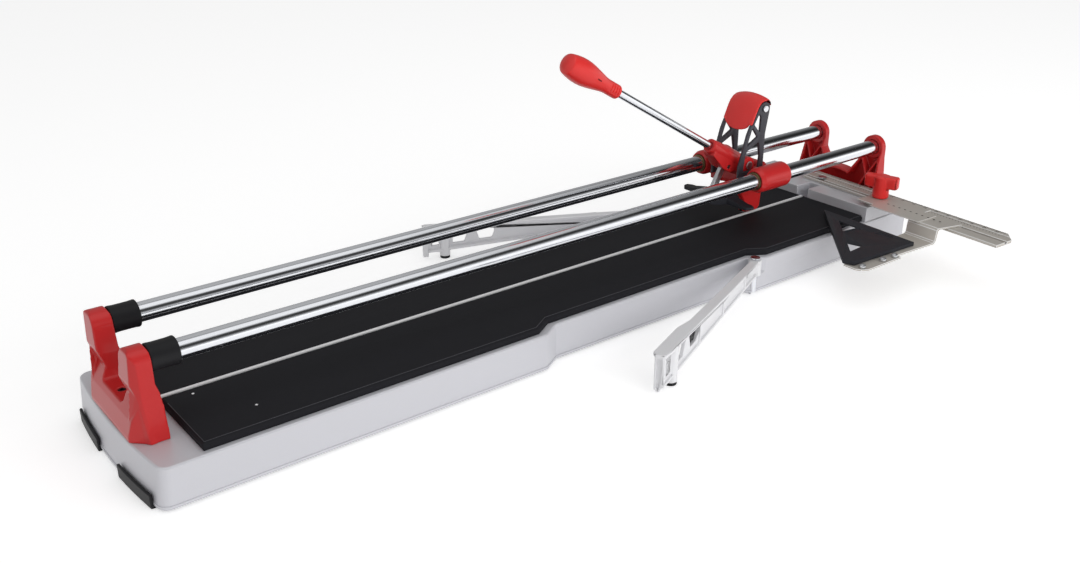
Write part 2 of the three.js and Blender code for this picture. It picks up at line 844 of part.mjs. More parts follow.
const scalePlate = () =>
  block(
    -stopWall - 3,
    -stopShelfRear - 3,
    -scalePlateOuter,
    -knobAlong - knobStemRadius - 4,
    shelfTopZ,
    shelfTopZ + scalePlateThickness,
  );

// Right-angled plate with its corner at the outer end of the back edge and windows in its web.
const squareZ = stopPlateHeight + seatGap;

function setSquare() {
  const back = -squareBack;
  const front = -squareFront;
  const outer = -squareOuter;
  const inner = -squareInner;
  const outline = [
    [back, outer],
    [back, inner],
    [back - 2, inner],
    [front - squareTip / 2, outer + squareTip],
    [front, outer],
  ];
  const top = squareZ + squareThickness;
  const plate = prismZ(outline, squareZ, top);
  // u runs along the back edge from the corner, and v away from it.
  const at = (u, v) => [back - v, outer + u];
  const tall = squareOuter - squareInner;
  const run = (squareFront - squareBack + squareTip / 2) / (tall - squareTip);
  const slant = (u, rim) => run * (tall - u) - rim * Math.hypot(1, run); // inside the slanted rim
  const reach = (v, rim) => tall - (v + rim * Math.hypot(1, run)) / run; // where the rims meet
  const web = top - squareWeb;
  const pocket = [
    at(squareOuterRim, squareEdge),
    at(reach(squareEdge, squareEdge), squareEdge),
    at(squareOuterRim, slant(squareOuterRim, squareEdge)),
  ];
  const [low, middle, high] = squareRibs;
  const windows = [
    [
      at(high, squareBackRim),
      at(reach(squareBackRim, squareRim), squareBackRim),
      at(high + 2, slant(high + 2, squareRim)),
    ],
    [
      at(low + 3, squareLowWindow),
      at(middle, slant(middle, squareRim)),
      at(low, slant(low, squareRim)),
    ],
  ].map((w) => prismZ(w, squareZ - 1, top + 1));
  const recesses = [
    [at(low, squareEdge), at(middle, squareEdge), at(middle, squareBackRim), at(low, squareRim)],
    [
      at(high - squareEdge, squareBackRim),
      at(high - 2, squareBackRim),
      at(high - 2, slant(high, squareRim)),
      at(high - squareEdge, slant(high, squareRim)),
    ],
  ].map((w) => prismZ(w, top - squareRecess, top + 1));
  const hollow = prismZ(pocket, squareZ - 1, web);
  return cut(plate, hollow, ...windows, ...recesses);
}

const rivet = (x) => {
  const at = [x, -plateOuter + rivetInset];
  const low = stopPlateHeight + seatGap;
  return join(
    cylinder("z", rivetRadius, low, low + 4, at, 16),
    cylinder("z", rivetShank, low - seatGap - stopThickness, low + 1, at, 16),
    cylinder("z", rivetShank, low + 3, low + 5, at, 16),
  );
};

const clampStud = () =>
  cylinder("z", studRadius, shelfZ, shelfTopZ + knobStemHeight, [-knobBack, -knobAlong], 20);

function clampKnob() {
  const bottom = shelfTopZ + seatGap;
  const head = bottom + knobStemHeight;
  const half = knobLobeWidth / 2;
  const lobe = rounded(
    [
      [0, -half],
      [knobLobe, -half],
      [knobLobe, half],
      [0, half],
    ],
    5,
    3,
  );
  const lobes = [knobAngle, knobAngle + 180].map((angle) =>
    prismZ(lobe, head, head + knobHeadHeight).rotate([0, 0, angle]),
  );
  const stem = cylinder("z", knobStemRadius, bottom, head + knobHeadHeight, [0, 0], 28);
  const bore = cylinder("z", studRadius + runningGap / 2, bottom - 1, head + 3, [0, 0], 20);
  return cut(join(stem, ...lobes), bore).translate([-knobBack, -knobAlong, 0]);
}

// ---------------------------------------------------------------- carriage
// A bearing housing along one rail, narrower at its front face.
function housing(side) {
  const profile = [
    [0, 0],
    [housingLip, 0],
    [housingRadius, housingChamfer],
    [housingRadius, housingLength - 4],
    [housingRadius - 2.5, housingLength],
    [0, housingLength],
  ].map(([radius, at]) => new THREE.Vector2(radius, at));
  return turn("x", new THREE.LatheGeometry(profile, 36), [housingFront, side * railY, railHeight]);
}

function carriageCasting() {
  const half = coreHalfWidth;
  const rear = coreRear;
  const core = block(coreFront, rear, -half, half, coreBottom, coreTop);
  const seat = block(coreFront + 3, rear, -half - 2, half + 2, wingBottom, coreBottom + 1);
  const spacer = cylinder("y", spacerRadius, 3 - half, half - 3, [spacerX, coreTop + 6], 20);
  const lever = [leverX, leverZ];
  const parts = [1, -1].flatMap((side) => {
    const cheek = onSide(side, socketHalfWidth + runningGap, half);
    const wing = onSide(side, half - 1, railY - housingRadius / 2);
    return [
      housing(side),
      block(coreFront, rear, ...cheek, coreBottom, cheekTop),
      block(leverX - 6, leverX + cheekLug, ...cheek, cheekTop - 1, leverZ),
      cylinder("y", cheekLug, ...cheek, lever, 28),
      block(coreFront + 1, housingFront + housingLength - 6, ...wing, wingBottom, wingTop),
    ];
  });
  const bores = [1, -1].flatMap((side) => {
    const reach = onSide(side, half - screwReach - 1, half + 1);
    const bore = [housingFront - 1, housingFront + housingLength + 1];
    return [
      alongRail(side, bushRadius + seatGap, ...bore, 36),
      ...screwPlaces.map((at) => cylinder("y", screwRadius + seatGap, ...reach, at, 16)),
    ];
  });
  const pinBore = cylinder("y", leverPinRadius + seatGap, -half - 1, half + 1, lever);
  return cut(join(core, seat, spacer, ...parts), ...bores, pinBore);
}

const plateFace = coreHalfWidth + seatGap + trussThickness; // outer face of a truss plate
const screwReach = 8; // of a screw into the casting
const screwPlaces = [
  [coreFront + 5, 130],
  [33, 130],
];

const railBush = (side, end) => {
  const inner = end < 0 ? -bushProud : housingLength - bushLength + bushProud;
  const from = housingFront + inner;
  return cut(
    alongRail(side, bushRadius, from, from + bushLength),
    alongRail(side, railRadius + runningGap / 2, from - 1, from + bushLength + 1),
  );
};

// Points drawn from the truss plates' reference point.
const onTruss = (points) => points.map(([x, z]) => [trussX + x, trussZ + z]);

// One side plate of the truss. Its front edge is set back where the cover lies over it.
function trussPlate(side) {
  const foot = trussFoot - trussZ;
  const outline = onTruss([
    [-48, foot],
    [3.5, foot],
    [3.5, -79],
    [3, -38],
    [8.5, -7],
    [9, 1],
    [7, 6],
    [1, 8.7],
    [-5, 8.4],
    [-11, 5],
    [-16.4, -3.2],
    [-24.8, -21.2],
    [-28.4, -21.2],
    [-35, -35],
    [-48, -79],
  ]);
  const windows = [
    [
      [-12.5, -7],
      [-21, -21],
      [-8.5, -34],
      [-7.8, -12],
    ],
    [
      [-24.5, -25.5],
      [-33.5, -50.5],
      [-13, -40],
    ],
    [
      [-10, -48.5],
      [-33, -58.5],
      [-35.5, -64],
      [-38.5, -88],
      [-6.5, -88],
      [-5, -70],
    ],
  ].map(onTruss);
  const inner = coreHalfWidth + seatGap;
  const [from, to] = onSide(side, inner, inner + trussThickness);
  const plate = prismY(outline, from, to);
  const holes = [
    [trussPinX, trussPinZ, trussPinRadius],
    ...screwPlaces.map(([x, z]) => [x, z, screwRadius]),
  ].map(([x, z, r]) => cylinder("y", r + seatGap, from - 1, to + 1, [x, z], 20));
  return cut(plate, ...windows.map((w) => prismY(w, from - 1, to + 1)), ...holes);
}

// A pin across the carriage with a head outside each of the two faces it passes.
function crossPin(radius, [x, z], face) {
  const reach = face + seatGap;
  return join(
    cylinder("y", radius, -reach - 1, reach + 1, [x, z], 20),
    cylinder("y", radius + 2, reach, reach + 2.5, [x, z], 20),
    cylinder("y", radius + 2, -reach - 2.5, -reach, [x, z], 20),
  );
}

function trussScrew(side, [x, z]) {
  const shank = onSide(side, coreHalfWidth - screwReach, plateFace + 1);
  const head = onSide(side, plateFace, plateFace + 3);
  return join(
    cylinder("y", screwRadius, ...shank, [x, z], 16),
    cylinder("y", screwHeadRadius, ...head, [x, z], 16),
  );
}

// Crowned cover over the truss plates' front edges, carried on the top pin. Its section is given
// at the plates' faces and grows towards the middle.
const coverOutside = [
  [-28.9, -20.8],
  [-24.6, -11],
  [-20.3, -1.5],
  [-16.5, 5],
  [-11, 10],
  [-5, 12.6],
  [1, 13],
  [6, 11.5],
  [9.6, 7.8],
  [11.5, 2],
];
const coverInside = [
  [9.5, 2],
  [8.2, 6.6],
  [5.2, 9.4],
  [1, 10.2],
  [-4.5, 10],
  [-9.6, 7.7],
  [-13.6, 3.4],
  [-17.1, -3],
  [-21.2, -12],
  [-25.2, -20.8],
];

function coverSection(y) {
  const rise = 1 - (y / plateFace) ** 2;
  const between = Math.max(1 - (y / (coreHalfWidth - seatGap)) ** 2, 0);
  const last = coverOutside.length + coverInside.length - 1;
  return onTruss(
    [...coverOutside, ...coverInside].map(([x, z], i) => [
      x * (1 + coverBulge * rise),
      i === 0 || i === last
        ? z - coverTongue * Math.sqrt(between)
        : z * (1 + (z > 0 ? coverCrown : coverBulge) * rise),
    ]),
  );
}

function headCover() {
  const half = coreHalfWidth - seatGap;
  const shares = [0, 0.25, 0.5, 0.75, 0.9, 1];
  const places = [...shares.map((share) => share * half), plateFace];
  const ys = [...places.slice(1).reverse().map((y) => -y), ...places];
  const shell = loftGeometry(ys.map(coverSection).map((s) => s.reverse()), ys);
  const at = [trussPinX, trussPinZ];
  const tube = cylinder("y", trussPinRadius + 4, -half, half, at, 24);
  const cheek = onTruss([
    [-26, -18],
    [-4, -8],
    [7, -6],
    [10, 3],
    [7, 11],
    [-3, 13],
    [-12, 9.5],
    [-20, -2],
  ]);
  const cheeks = [prismY(cheek, half - coverCheek, half), prismY(cheek, -half, coverCheek - half)];
  const bore = cylinder("y", trussPinRadius + seatGap, -half - 1, half + 1, at, 24);
  return cut(join(solidOf(shell.rotateX(Math.PI / 2)), tube, ...cheeks), bore);
}

// ---------------------------------------------------------------- scoring wheel
const wheelZ = stripZ + wheelClearance + wheelRadius;

function wheelHolder() {
  const top = wingBottom - seatGap;
  const leg = [
    [wheelX + 5, stripZ + wheelClearance + 1],
    [holderRear - 8, stripZ + wheelClearance + 1],
    [holderRear - 3, stripZ + wheelClearance + 6],
    [holderRear, top - 12],
    [holderRear - 8, top],
    [wheelX - 20, top],
    [wheelX - 16, top - 10],
    [wheelX - 5, wheelZ + wheelRadius + 3],
    [wheelX - 5, wheelZ - 5],
  ];
  const body = prismY(leg, -holderHalfWidth, holderHalfWidth);
  const half = wheelThickness / 2 + runningGap;
  const reach = wheelRadius + 1.5;
  const slot = block(wheelX - reach, wheelX + reach, -half, half, stripZ, wheelZ + reach);
  const bore = cylinder("y", wheelAxleRadius + seatGap, -holderHalfWidth - 1, holderHalfWidth + 1, [
    wheelX,
    wheelZ,
  ]);
  return cut(body, slot, bore);
}

// A screw with a round head on the left and a nut on the right.
function wheelAxle() {
  const at = [wheelX, wheelZ];
  const face = holderHalfWidth + seatGap;
  return join(
    cylinder("y", wheelAxleRadius, -face - 1, face + 1, at, 16),
    cylinder("y", wheelAxleRadius + 2, face, face + 2, at, 16),
    cylinder("y", wheelAxleRadius + 2, -face - 2, -face, at, 6),
  );
}

// Disc with a V edge.
function scoringWheel() {
  const half = wheelThickness / 2;
  const bore = wheelAxleRadius + 0.05;
  const profile = [
    [bore, -half],
    [wheelRadius - 1.6, -half],
    [wheelRadius, 0],
    [wheelRadius - 1.6, half],
    [bore, half],
    [bore, -half],
  ].map(([r, y]) => new THREE.Vector2(r, y));
  const wheel = solidOf(new THREE.LatheGeometry(profile, 32));
  return wheel.translate([wheelX, 0, wheelZ]);
}

// ---------------------------------------------------------------- lever
// The lever is drawn pointing towards -X about its pivot, and then tilted up.
function leverSocket() {
  const half = socketHalfWidth;
  const [lx, lz] = linkLocal;
  const barrel = [
    [0, -socketLength],
    [socketFrontRadius - 1, -socketLength],
    [socketFrontRadius, -socketLength + 1.5],
    [half, -28],
  ];
  for (let i = 0; i <= 6; i++) {
    const angle = (i * Math.PI) / 12;
    barrel.push([half * Math.cos(angle), half * Math.sin(angle)]);
  }
  const profile = barrel.map(([radius, at]) => new THREE.Vector2(Math.max(radius, 0), at));
  profile.at(-1).x = 0;
  const tube = turn("x", new THREE.LatheGeometry(profile, 32), [0, 0, 0]);
  // The hood's sides run down past the link and its pin.
  const hood = prismY(
    [
      [-socketLength + 5, 0],
      [-socketLength + 7, -socketFrontRadius - 1],
      [lx - linkWidth / 2 - 4, -hoodDrop],
      [lx + linkWidth / 2, -hoodDrop],
      [-6, -socketRearRadius + 0.5],
      [4, -half + 2],
      [4, 0],
    ],
    -half,
    half,
  );
  const taper = prismZ(
    [
      [-socketLength - 1, -socketFrontRadius + 1],
      [-28, -half + 1],
      [half, -half + 1],
      [half, half - 1],
      [-28, half - 1],
      [-socketLength - 1, socketFrontRadius - 1],
    ],
    -hoodDrop - 1,
    1,
  );
  const slotHalf = linkThickness / 2 + runningGap;
  const sweep = linkWidth / 2 + linkSwing;
  const bores = [
    cylinder("y", linkWidth / 2 + 1, -slotHalf, slotHalf, [lx, lz], 24),
    block(lx - sweep, lx + sweep, -slotHalf, slotHalf, -hoodDrop - 1, lz),
    cylinder("x", rodRadius + seatGap, -socketLength - 2, -rodStart + seatGap, [0, 0], 24),
    cylinder("y", leverPinRadius + runningGap / 2, -half - 1, half + 1, [0, 0], 24),
    cylinder("y", linkPinRadius + seatGap, -half - 1, half + 1, [lx, lz], 20),
  ];
  return cut(join(tube, hood.intersect(taper)), ...bores);
}

// Place of the link pin in the untilted lever.
const linkLocal = (() => {
  const dx = linkX - leverX;
  const dz = linkZ - leverZ;
  const angle = leverTilt * degrees;
  return [dx * Math.cos(angle) - dz * Math.sin(angle), dx * Math.sin(angle) + dz * Math.cos(angle)];
})();

const leverRod = () =>
  cylinder("x", rodRadius, -gripStart - rodInGrip, -rodStart, [0, 0], 24);

// Pear-shaped grip, turned about the rod. Its outline gives the radius and the distance from its
// neck, as shares of its greatest radius and its length.
const gripOutline = [
  [0.52, 0],
  [0.557, 0.015],
  [0.557, 0.194],
  [0.625, 0.291],
  [0.761, 0.417],
  [0.92, 0.553],
  [1, 0.68],
  [0.977, 0.796],
  [0.898, 0.893],
  [0.76, 0.965],
  [0.7, 0.98],
];

function leverGrip() {
  const bore = rodRadius + seatGap;
  const depth = rodInGrip + seatGap;
  const profile = [
    [0, depth],
    [bore, depth],
    [bore, 0],
    ...gripOutline.map(([radius, at]) => [radius * gripRadius, at * gripLength]),
    [0, gripLength],
  ].map(([radius, at]) => new THREE.Vector2(radius, at));
  const geometry = new THREE.LatheGeometry(profile, 28).rotateZ(Math.PI / 2);
  return solidOf(geometry).translate([-gripStart, 0, 0]);
}

function linkPin() {
  const reach = socketHalfWidth - 2;
  return cylinder("y", linkPinRadius, -reach, reach, linkLocal, 16);
}

// ---------------------------------------------------------------- breaker
const footTop = footSole + footHeight;
const slotDepth = 5; // of the link's seat in the foot

function breakerLink() {
  const half = linkThickness / 2;
  const low = linkX - linkLean;
  const bar = prismY(
    [
      [low - linkWidth / 2, footTop + seatGap - slotDepth],
      [low + linkWidth / 2, footTop + seatGap - slotDepth],
      [linkX + linkWidth / 2, linkZ],
      [linkX - linkWidth / 2, linkZ],
    ],
    -half,
    half,
  );
  const eye = cylinder("y", linkWidth / 2, -half, half, [linkX, linkZ], 20);
  const clear = linkPinRadius + runningGap / 2;
  const bore = cylinder("y", clear, -half - 1, half + 1, [linkX, linkZ], 16);
  return cut(join(bar, eye), bore);
}

// Two spread wings behind a nose with a slot on top for the link.
function breakerFoot() {
  const axis = linkX - linkLean;
  const nose = axis - footNose;
  const neck = 13; // half width of the nose
  const tip = footHalfWidth;
  const wing = [
    [-tip, footSole + 1.5],
    [-tip + 6, footSole],
    [-neck - 4, footSole],
    [-neck, footSole + 2],
    [neck, footSole + 2],
    [neck + 4, footSole],
    [tip - 6, footSole],
    [tip, footSole + 1.5],
    [tip, footSole + 5],
    [tip - 14, footSole + 5],
    [neck + 15, footTop],
    [-neck - 15, footTop],
    [-tip + 14, footSole + 5],
    [-tip, footSole + 5],
  ];
  const left = [
    [footWingRear, tip - 8],
    [footWingRear - 4, tip],
    [footWingFront + 5, tip],
    [footWingFront, tip - 5],
    [footWingFront, neck + 12],
    [nose, neck],
  ];
  const plan = prismZ([...left, ...mirrored(left)], footSole - 1, footTop + 1);
  const body = prismX(wing, nose - 1, footWingRear + 1).intersect(plan);
  const half = linkThickness / 2 + seatGap;
  const back = axis + linkWidth + 4;
  return cut(body, block(nose - 1, back, -half, half, footTop - slotDepth, footTop + 1));
}

// ---------------------------------------------------------------- support arms
// Drawn for the left side: the arm runs towards -X from its hinge, with its outer side at +Y.
function armBottom(s) {
  return armRoot + ((armTip - armRoot) * s) / armLength;
}

const armWindows = [
  [11, 24, 13, 24],
  [45, 71, 45, 62],
  [79, 112, 85, 104],
];
const armRibs = [108, 186, 264]; // from the tip

function supportArm() {
  const plan = [
    [4, -7],
    [4, 7],
    [-14, 8],
    [-110, armOuter],
    [-armLength + 4, armOuter],
    [-armLength, armOuter - 4],
    [-armLength, -armInnerWide + 6],
    [-armLength + 5, -armInnerWide + 1],
    [-armWideFrom - 8, -armInnerWide],
    [-armWideFrom + 18, -armInner],
    [-14, -armInner],
  ];
  const flange = prismZ(plan, armTop - armFlange, armTop);
  const webShape = [
    [0, armRoot],
    [0, armTop - 1],
    [-armLength, armTop - 1],
    [-armLength, armTip],
  ];
  const bottomBand = [
    [-16, armBottom(16)],
    [-16, armBottom(16) + 3.5],
    [-armLength, armTip + 3.5],
    [-armLength, armTip],
  ];
  const web = prismY(webShape, armWebOffset, armWebOffset + armWeb);
  const band = prismY(bottomBand, -armInner + 1, armOuter - 1);
  // The end plate narrows downwards and is sunk inside its rim.
  const tipSide = prismY(
    [
      [-armLength, 1.5],
      [-armLength + 8, 1.5],
      [-armLength + 8, armTop - 1],
      [-armLength, armTop - 1],
    ],
    -armInnerWide,
    armOuter,
  );
  const tipFace = (inset) => [
    [-4 + inset, armTop - 1 - 2 * inset],
    [-4 + inset, 5 + inset],
    [-1 + inset / 2, 1.5 + inset],
    [3 - inset / 2, 1.5 + inset],
    [armOuter - 3 - inset, 12 + inset],
    [armOuter - 2 - inset, armTop - 1 - 2 * inset],
  ];
  const endFace = prismX(tipFace(0).reverse(), -armLength - 1, -armLength + 9);
  const sunk = prismX(tipFace(2.6).reverse(), -armLength - 1, -armLength + 3);
  const tip = tipSide.intersect(endFace);
  const footX = -armLength + armFootFromTip;
  const footY = armWebOffset + armWeb / 2;
  const boss = cylinder("z", armFootRadius + 0.5, 2, armTop - 1, [footX, footY], 20);
  // Each window is given by two lengths from the tip under the flange and two along the bottom.
  const windows = armWindows.map((ends) => {
    const [top0, top1, low0, low1] = ends.map((end) => armLength - end);
    const high = armTop - armFlange - 2;
    return prismY(
      [
        [-top0, high],
        [-low0, armBottom(low0) + armSill],
        [-low1, armBottom(low1) + armSill],
        [-top1, high],
      ],
      -armInnerWide - 1,
      armOuter + 1,
    );
  });
  const ribs = armRibs.map((end) => {
    const x = end - armLength;
    return block(x, x + armRib, armWebOffset, armOuter - 1, armBottom(-x) + 1, armTop - 1);
  });
  const barrel = cylinder("z", armBarrel, armLedge + seatGap, armTop, [0, 0], 24);
  const bore = cylinder("z", armPinRadius + runningGap / 2, armLedge - 1, armTop + 1, [0, 0], 24);
  const footBore = cylinder("z", 3 + seatGap, 0, 9, [footX, footY], 16);
  const frame = cut(join(web, band), ...windows);
  return cut(join(frame, ...ribs, flange, tip, boss, barrel), sunk, bore, footBore);
}

function armFoot() {
  const footX = -armLength + armFootFromTip;
  const footY = armWebOffset + armWeb / 2;
  return join(
    cylinder("z", armFootRadius, floorZ, 2 - seatGap, [footX, footY], 20),
    cylinder("z", 3, 1, 8, [footX, footY], 16),
  );
}

// Pin with a round cap, screwed into the ledge of the base.
function armPin(side) {
  const at = [armHinge, side * armHingeOut];
  const cap = armTop + runningGap;
  return join(
    cylinder("z", armPinRadius, 2, cap + 1, at, 20),
    cylinder("z", armPinRadius + 3, cap, cap + 2.5, at, 20),
  );
}

// ---------------------------------------------------------------- assembly
const machine = new THREE.Group();

const base = new THREE.Group();
machine.add(base);
place(base, "base_casting", castAluminium, baseCasting());
place(
  base,
  "breaker_strip",
  brightAluminium,
  block(frontX + tableFront, fenceX - seatGap, -stripWidth / 2, stripWidth / 2, deckZ, stripZ),
);
place(base, "table_pad_left", blackRubber, tablePad());
place(base, "table_pad_right", blackRubber, tablePad().mirror([0, 1, 0]));
place(base, "front_bracket", redEnamel, frontBracket());
place(base, "rear_bracket", redEnamel, rearBracket());
place(base, "fence_block", brightAluminium, fenceBlock());
place(base, "bar_pivot_pin", steel, pivotPin());
for (const [word, side] of sides) {
  const handed = (solid) => (side > 0 ? solid : solid.mirror([0, 1, 0]));
  place(base, `rail_${word}`, chrome, rail(side));
  place(base, `rail_bumper_${word}`, blackRubber, bumper(side));
  place(base, `front_bolt_${word}`, steel, deckBolt(frontBoltX, side * frontBoltY));
  place(base, `rear_bolt_${word}`, steel, deckBolt(rearBoltX, side * rearBoltY));
  place(base, `front_foot_${word}`, blackRubber, handed(frontFoot()));
  place(base, `rear_foot_${word}`, blackRubber, handed(rearFoot()));
  place(base, `arm_pin_${word}`, chrome, armPin(side));

  const arm = new THREE.Group();
  const swing = side > 0 ? armLeftSwing : armRightSwing;
  arm.position.set(armHinge, side * armHingeOut, 0);
  arm.rotation.z = -side * swing * degrees;
  machine.add(arm);
  place(arm, `arm_${word}`, brightAluminium, handed(supportArm()));
  place(arm, `arm_foot_${word}`, blackRubber, handed(armFoot()));
}

const ruler = new THREE.Group();
ruler.position.set(pivotX, 0, 0);
ruler.rotation.z = -barSwing * degrees;
machine.add(ruler);
place(ruler, "scale_bar", brightAluminium, scaleBar());
place(ruler, "stop_casting", castAluminium, stopCasting());
place(ruler, "scale_plate", brightAluminium, scalePlate());
place(ruler, "set_square", blackPlastic, setSquare());
place(ruler, "clamp_stud", steel, clampStud());
place(ruler, "clamp_knob", redPlastic, clampKnob());
for (const [word, x] of Object.entries(rivetPlaces)) {
  place(ruler, `stop_rivet_${word}`, steel, rivet(x));
}

const carriage = new THREE.Group();
carriage.position.set(carriageX, 0, 0);
machine.add(carriage);
place(carriage, "carriage_casting", redEnamel, carriageCasting());
const trussPin = crossPin(trussPinRadius, [trussPinX, trussPinZ], plateFace);
place(carriage, "truss_pin", chrome, trussPin);
const leverPin = crossPin(leverPinRadius, [leverX, leverZ], coreHalfWidth);
place(carriage, "lever_pin", steel, leverPin);
place(carriage, "head_cover", redPlastic, headCover());
place(carriage, "wheel_holder", redEnamel, wheelHolder());
place(carriage, "wheel_axle", steel, wheelAxle());
place(carriage, "scoring_wheel", carbide, scoringWheel());
for (const [word, side] of sides) {
  place(carriage, `truss_plate_${word}`, greyEnamel, trussPlate(side));
  place(carriage, `front_bush_${word}`, bronze, railBush(side, -1));
  place(carriage, `rear_bush_${word}`, bronze, railBush(side, 1));
  place(carriage, `front_screw_${word}`, steel, trussScrew(side, screwPlaces[0]));
  place(carriage, `rear_screw_${word}`, steel, trussScrew(side, screwPlaces[1]));
}
place(carriage, "breaker_link", steel, breakerLink());
place(carriage, "breaker_foot", blackPlastic, breakerFoot());

const lever = new THREE.Group();
lever.position.set(leverX, 0, leverZ);
lever.rotation.y = leverTilt * degrees;
carriage.add(lever);
place(lever, "lever_socket", redEnamel, leverSocket());
place(lever, "lever_rod", chrome, leverRod());
place(lever, "lever_grip", redPlastic, leverGrip());
place(lever, "link_pin", steel, linkPin());

export default machine;
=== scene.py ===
"""Looks of a manual tile cutter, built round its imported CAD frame.

Each sub-assembly is a class with its sizes in millimetres. It dresses the CAD nodes it owns and
builds the pieces that stand for some of them. +X runs along the rails to the fence, +Y is to the
left and +Z is up. Blender's own units are metres.
"""

from __future__ import annotations

import json
import logging
import math
from dataclasses import dataclass, field
from enum import Enum
from typing import Any, Iterable, Optional, Sequence

import bmesh
import bpy
from bmesh.types import BMEdge, BMesh, BMVert
from bpy.types import ID, Material, Mesh, Node, NodeSocket, NodeTree, Object, World
from mathutils import Matrix, Vector


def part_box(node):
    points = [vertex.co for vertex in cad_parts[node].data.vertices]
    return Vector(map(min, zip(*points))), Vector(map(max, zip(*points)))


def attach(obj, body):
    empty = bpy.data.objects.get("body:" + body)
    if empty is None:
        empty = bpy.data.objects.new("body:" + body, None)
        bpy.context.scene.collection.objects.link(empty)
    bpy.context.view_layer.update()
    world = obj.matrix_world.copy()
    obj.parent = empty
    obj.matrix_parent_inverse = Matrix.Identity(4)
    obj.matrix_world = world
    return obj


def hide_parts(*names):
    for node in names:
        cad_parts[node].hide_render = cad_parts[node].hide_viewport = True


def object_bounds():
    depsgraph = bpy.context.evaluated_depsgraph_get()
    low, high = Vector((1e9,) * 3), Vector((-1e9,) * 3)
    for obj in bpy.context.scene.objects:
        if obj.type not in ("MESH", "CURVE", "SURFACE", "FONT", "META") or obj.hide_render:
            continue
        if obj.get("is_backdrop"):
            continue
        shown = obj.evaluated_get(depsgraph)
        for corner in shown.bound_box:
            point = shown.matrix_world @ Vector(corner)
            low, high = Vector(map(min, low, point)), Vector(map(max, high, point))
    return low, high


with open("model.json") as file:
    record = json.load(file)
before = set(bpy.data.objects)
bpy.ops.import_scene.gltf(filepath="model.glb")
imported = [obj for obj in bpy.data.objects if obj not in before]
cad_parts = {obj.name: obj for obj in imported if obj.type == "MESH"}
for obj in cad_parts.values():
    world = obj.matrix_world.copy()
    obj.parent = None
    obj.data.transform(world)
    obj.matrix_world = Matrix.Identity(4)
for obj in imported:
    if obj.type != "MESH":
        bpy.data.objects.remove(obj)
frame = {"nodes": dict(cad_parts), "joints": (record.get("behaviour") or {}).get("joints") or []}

log = logging.getLogger("tile_cutter")

MM = 0.001
SIDES = ("left", "right")
WHITE = (1.0, 1.0, 1.0, 1.0)

# Corners this near are one corner, in millimetres: in a copied CAD mesh, and in type.
WELD = 0.005
TYPE_WELD = 0.001
# Faces that meet within this many degrees are one flat face.
FLAT = 0.5
# Edges that turn by more than this many degrees are rounded.
ROUNDED_FROM = 28.0
# Edges that turn by more than this many degrees are shaded sharp.
CREASE = 35.0

Point = tuple[float, float]
Triple = tuple[float, float, float]


class Axis(Enum):
    """The axis that a turned piece goes round."""

    X = (1.0, 0.0, 0.0)
    Z = (0.0, 0.0, 1.0)


class Grain(Enum):
    """The fine pattern of a finish: its node, and the settings of that node."""

    SAND = ("ShaderNodeTexNoise", {"Detail": 3.0, "Roughness": 0.6})
    CELLS = ("ShaderNodeTexVoronoi", {})


class Mark(Enum):
    """The shape that a row repeats: its node, and the settings of that node."""

    BAR = ("GeometryNodeMeshCube", {})
    DOME = ("GeometryNodeMeshIcoSphere", {"Subdivisions": 2, "Radius": 0.5})


# ------------ nodes
def linear(code: str) -> tuple[float, float, float, float]:
    """Turns an sRGB hex colour to a linear one.

    Args:
        code: The colour, such as "#c0282a".

    Returns:
        Linear red, green, blue and an alpha of 1.
    """
    channels = [int(code[i : i + 2], 16) / 255 for i in (1, 3, 5)]
    values = [c / 12.92 if c <= 0.04045 else ((c + 0.055) / 1.055) ** 2.4 for c in channels]
    return (values[0], values[1], values[2], 1.0)


def add_node(tree: NodeTree, kind: str, values: dict[Any, Any]) -> Node:
    """Adds a node with its settings and links.

    Args:
        tree: The tree that the node goes in.
        kind: The node's type name.
        values: Values by the node's attribute, or by the input's name or number. A value that is
            another node's output is linked to the input.

    Returns:
        The new node.
    """
    node = tree.nodes.new(kind)
    for key, value in values.items():
        if isinstance(value, NodeSocket):
            tree.links.new(value, node.inputs[key])
        elif isinstance(key, str) and hasattr(node, key):
            setattr(node, key, value)
        else:
            node.inputs[key].default_value = value
    return node


def blank_tree(owner: Material | World) -> NodeTree:
    """Empties the node tree of a material or a world.

    Args:
        owner: The material or the world.

    Returns:
        Its tree, without nodes.
    """
    owner.use_nodes = True
    owner.node_tree.nodes.clear()
    return owner.node_tree


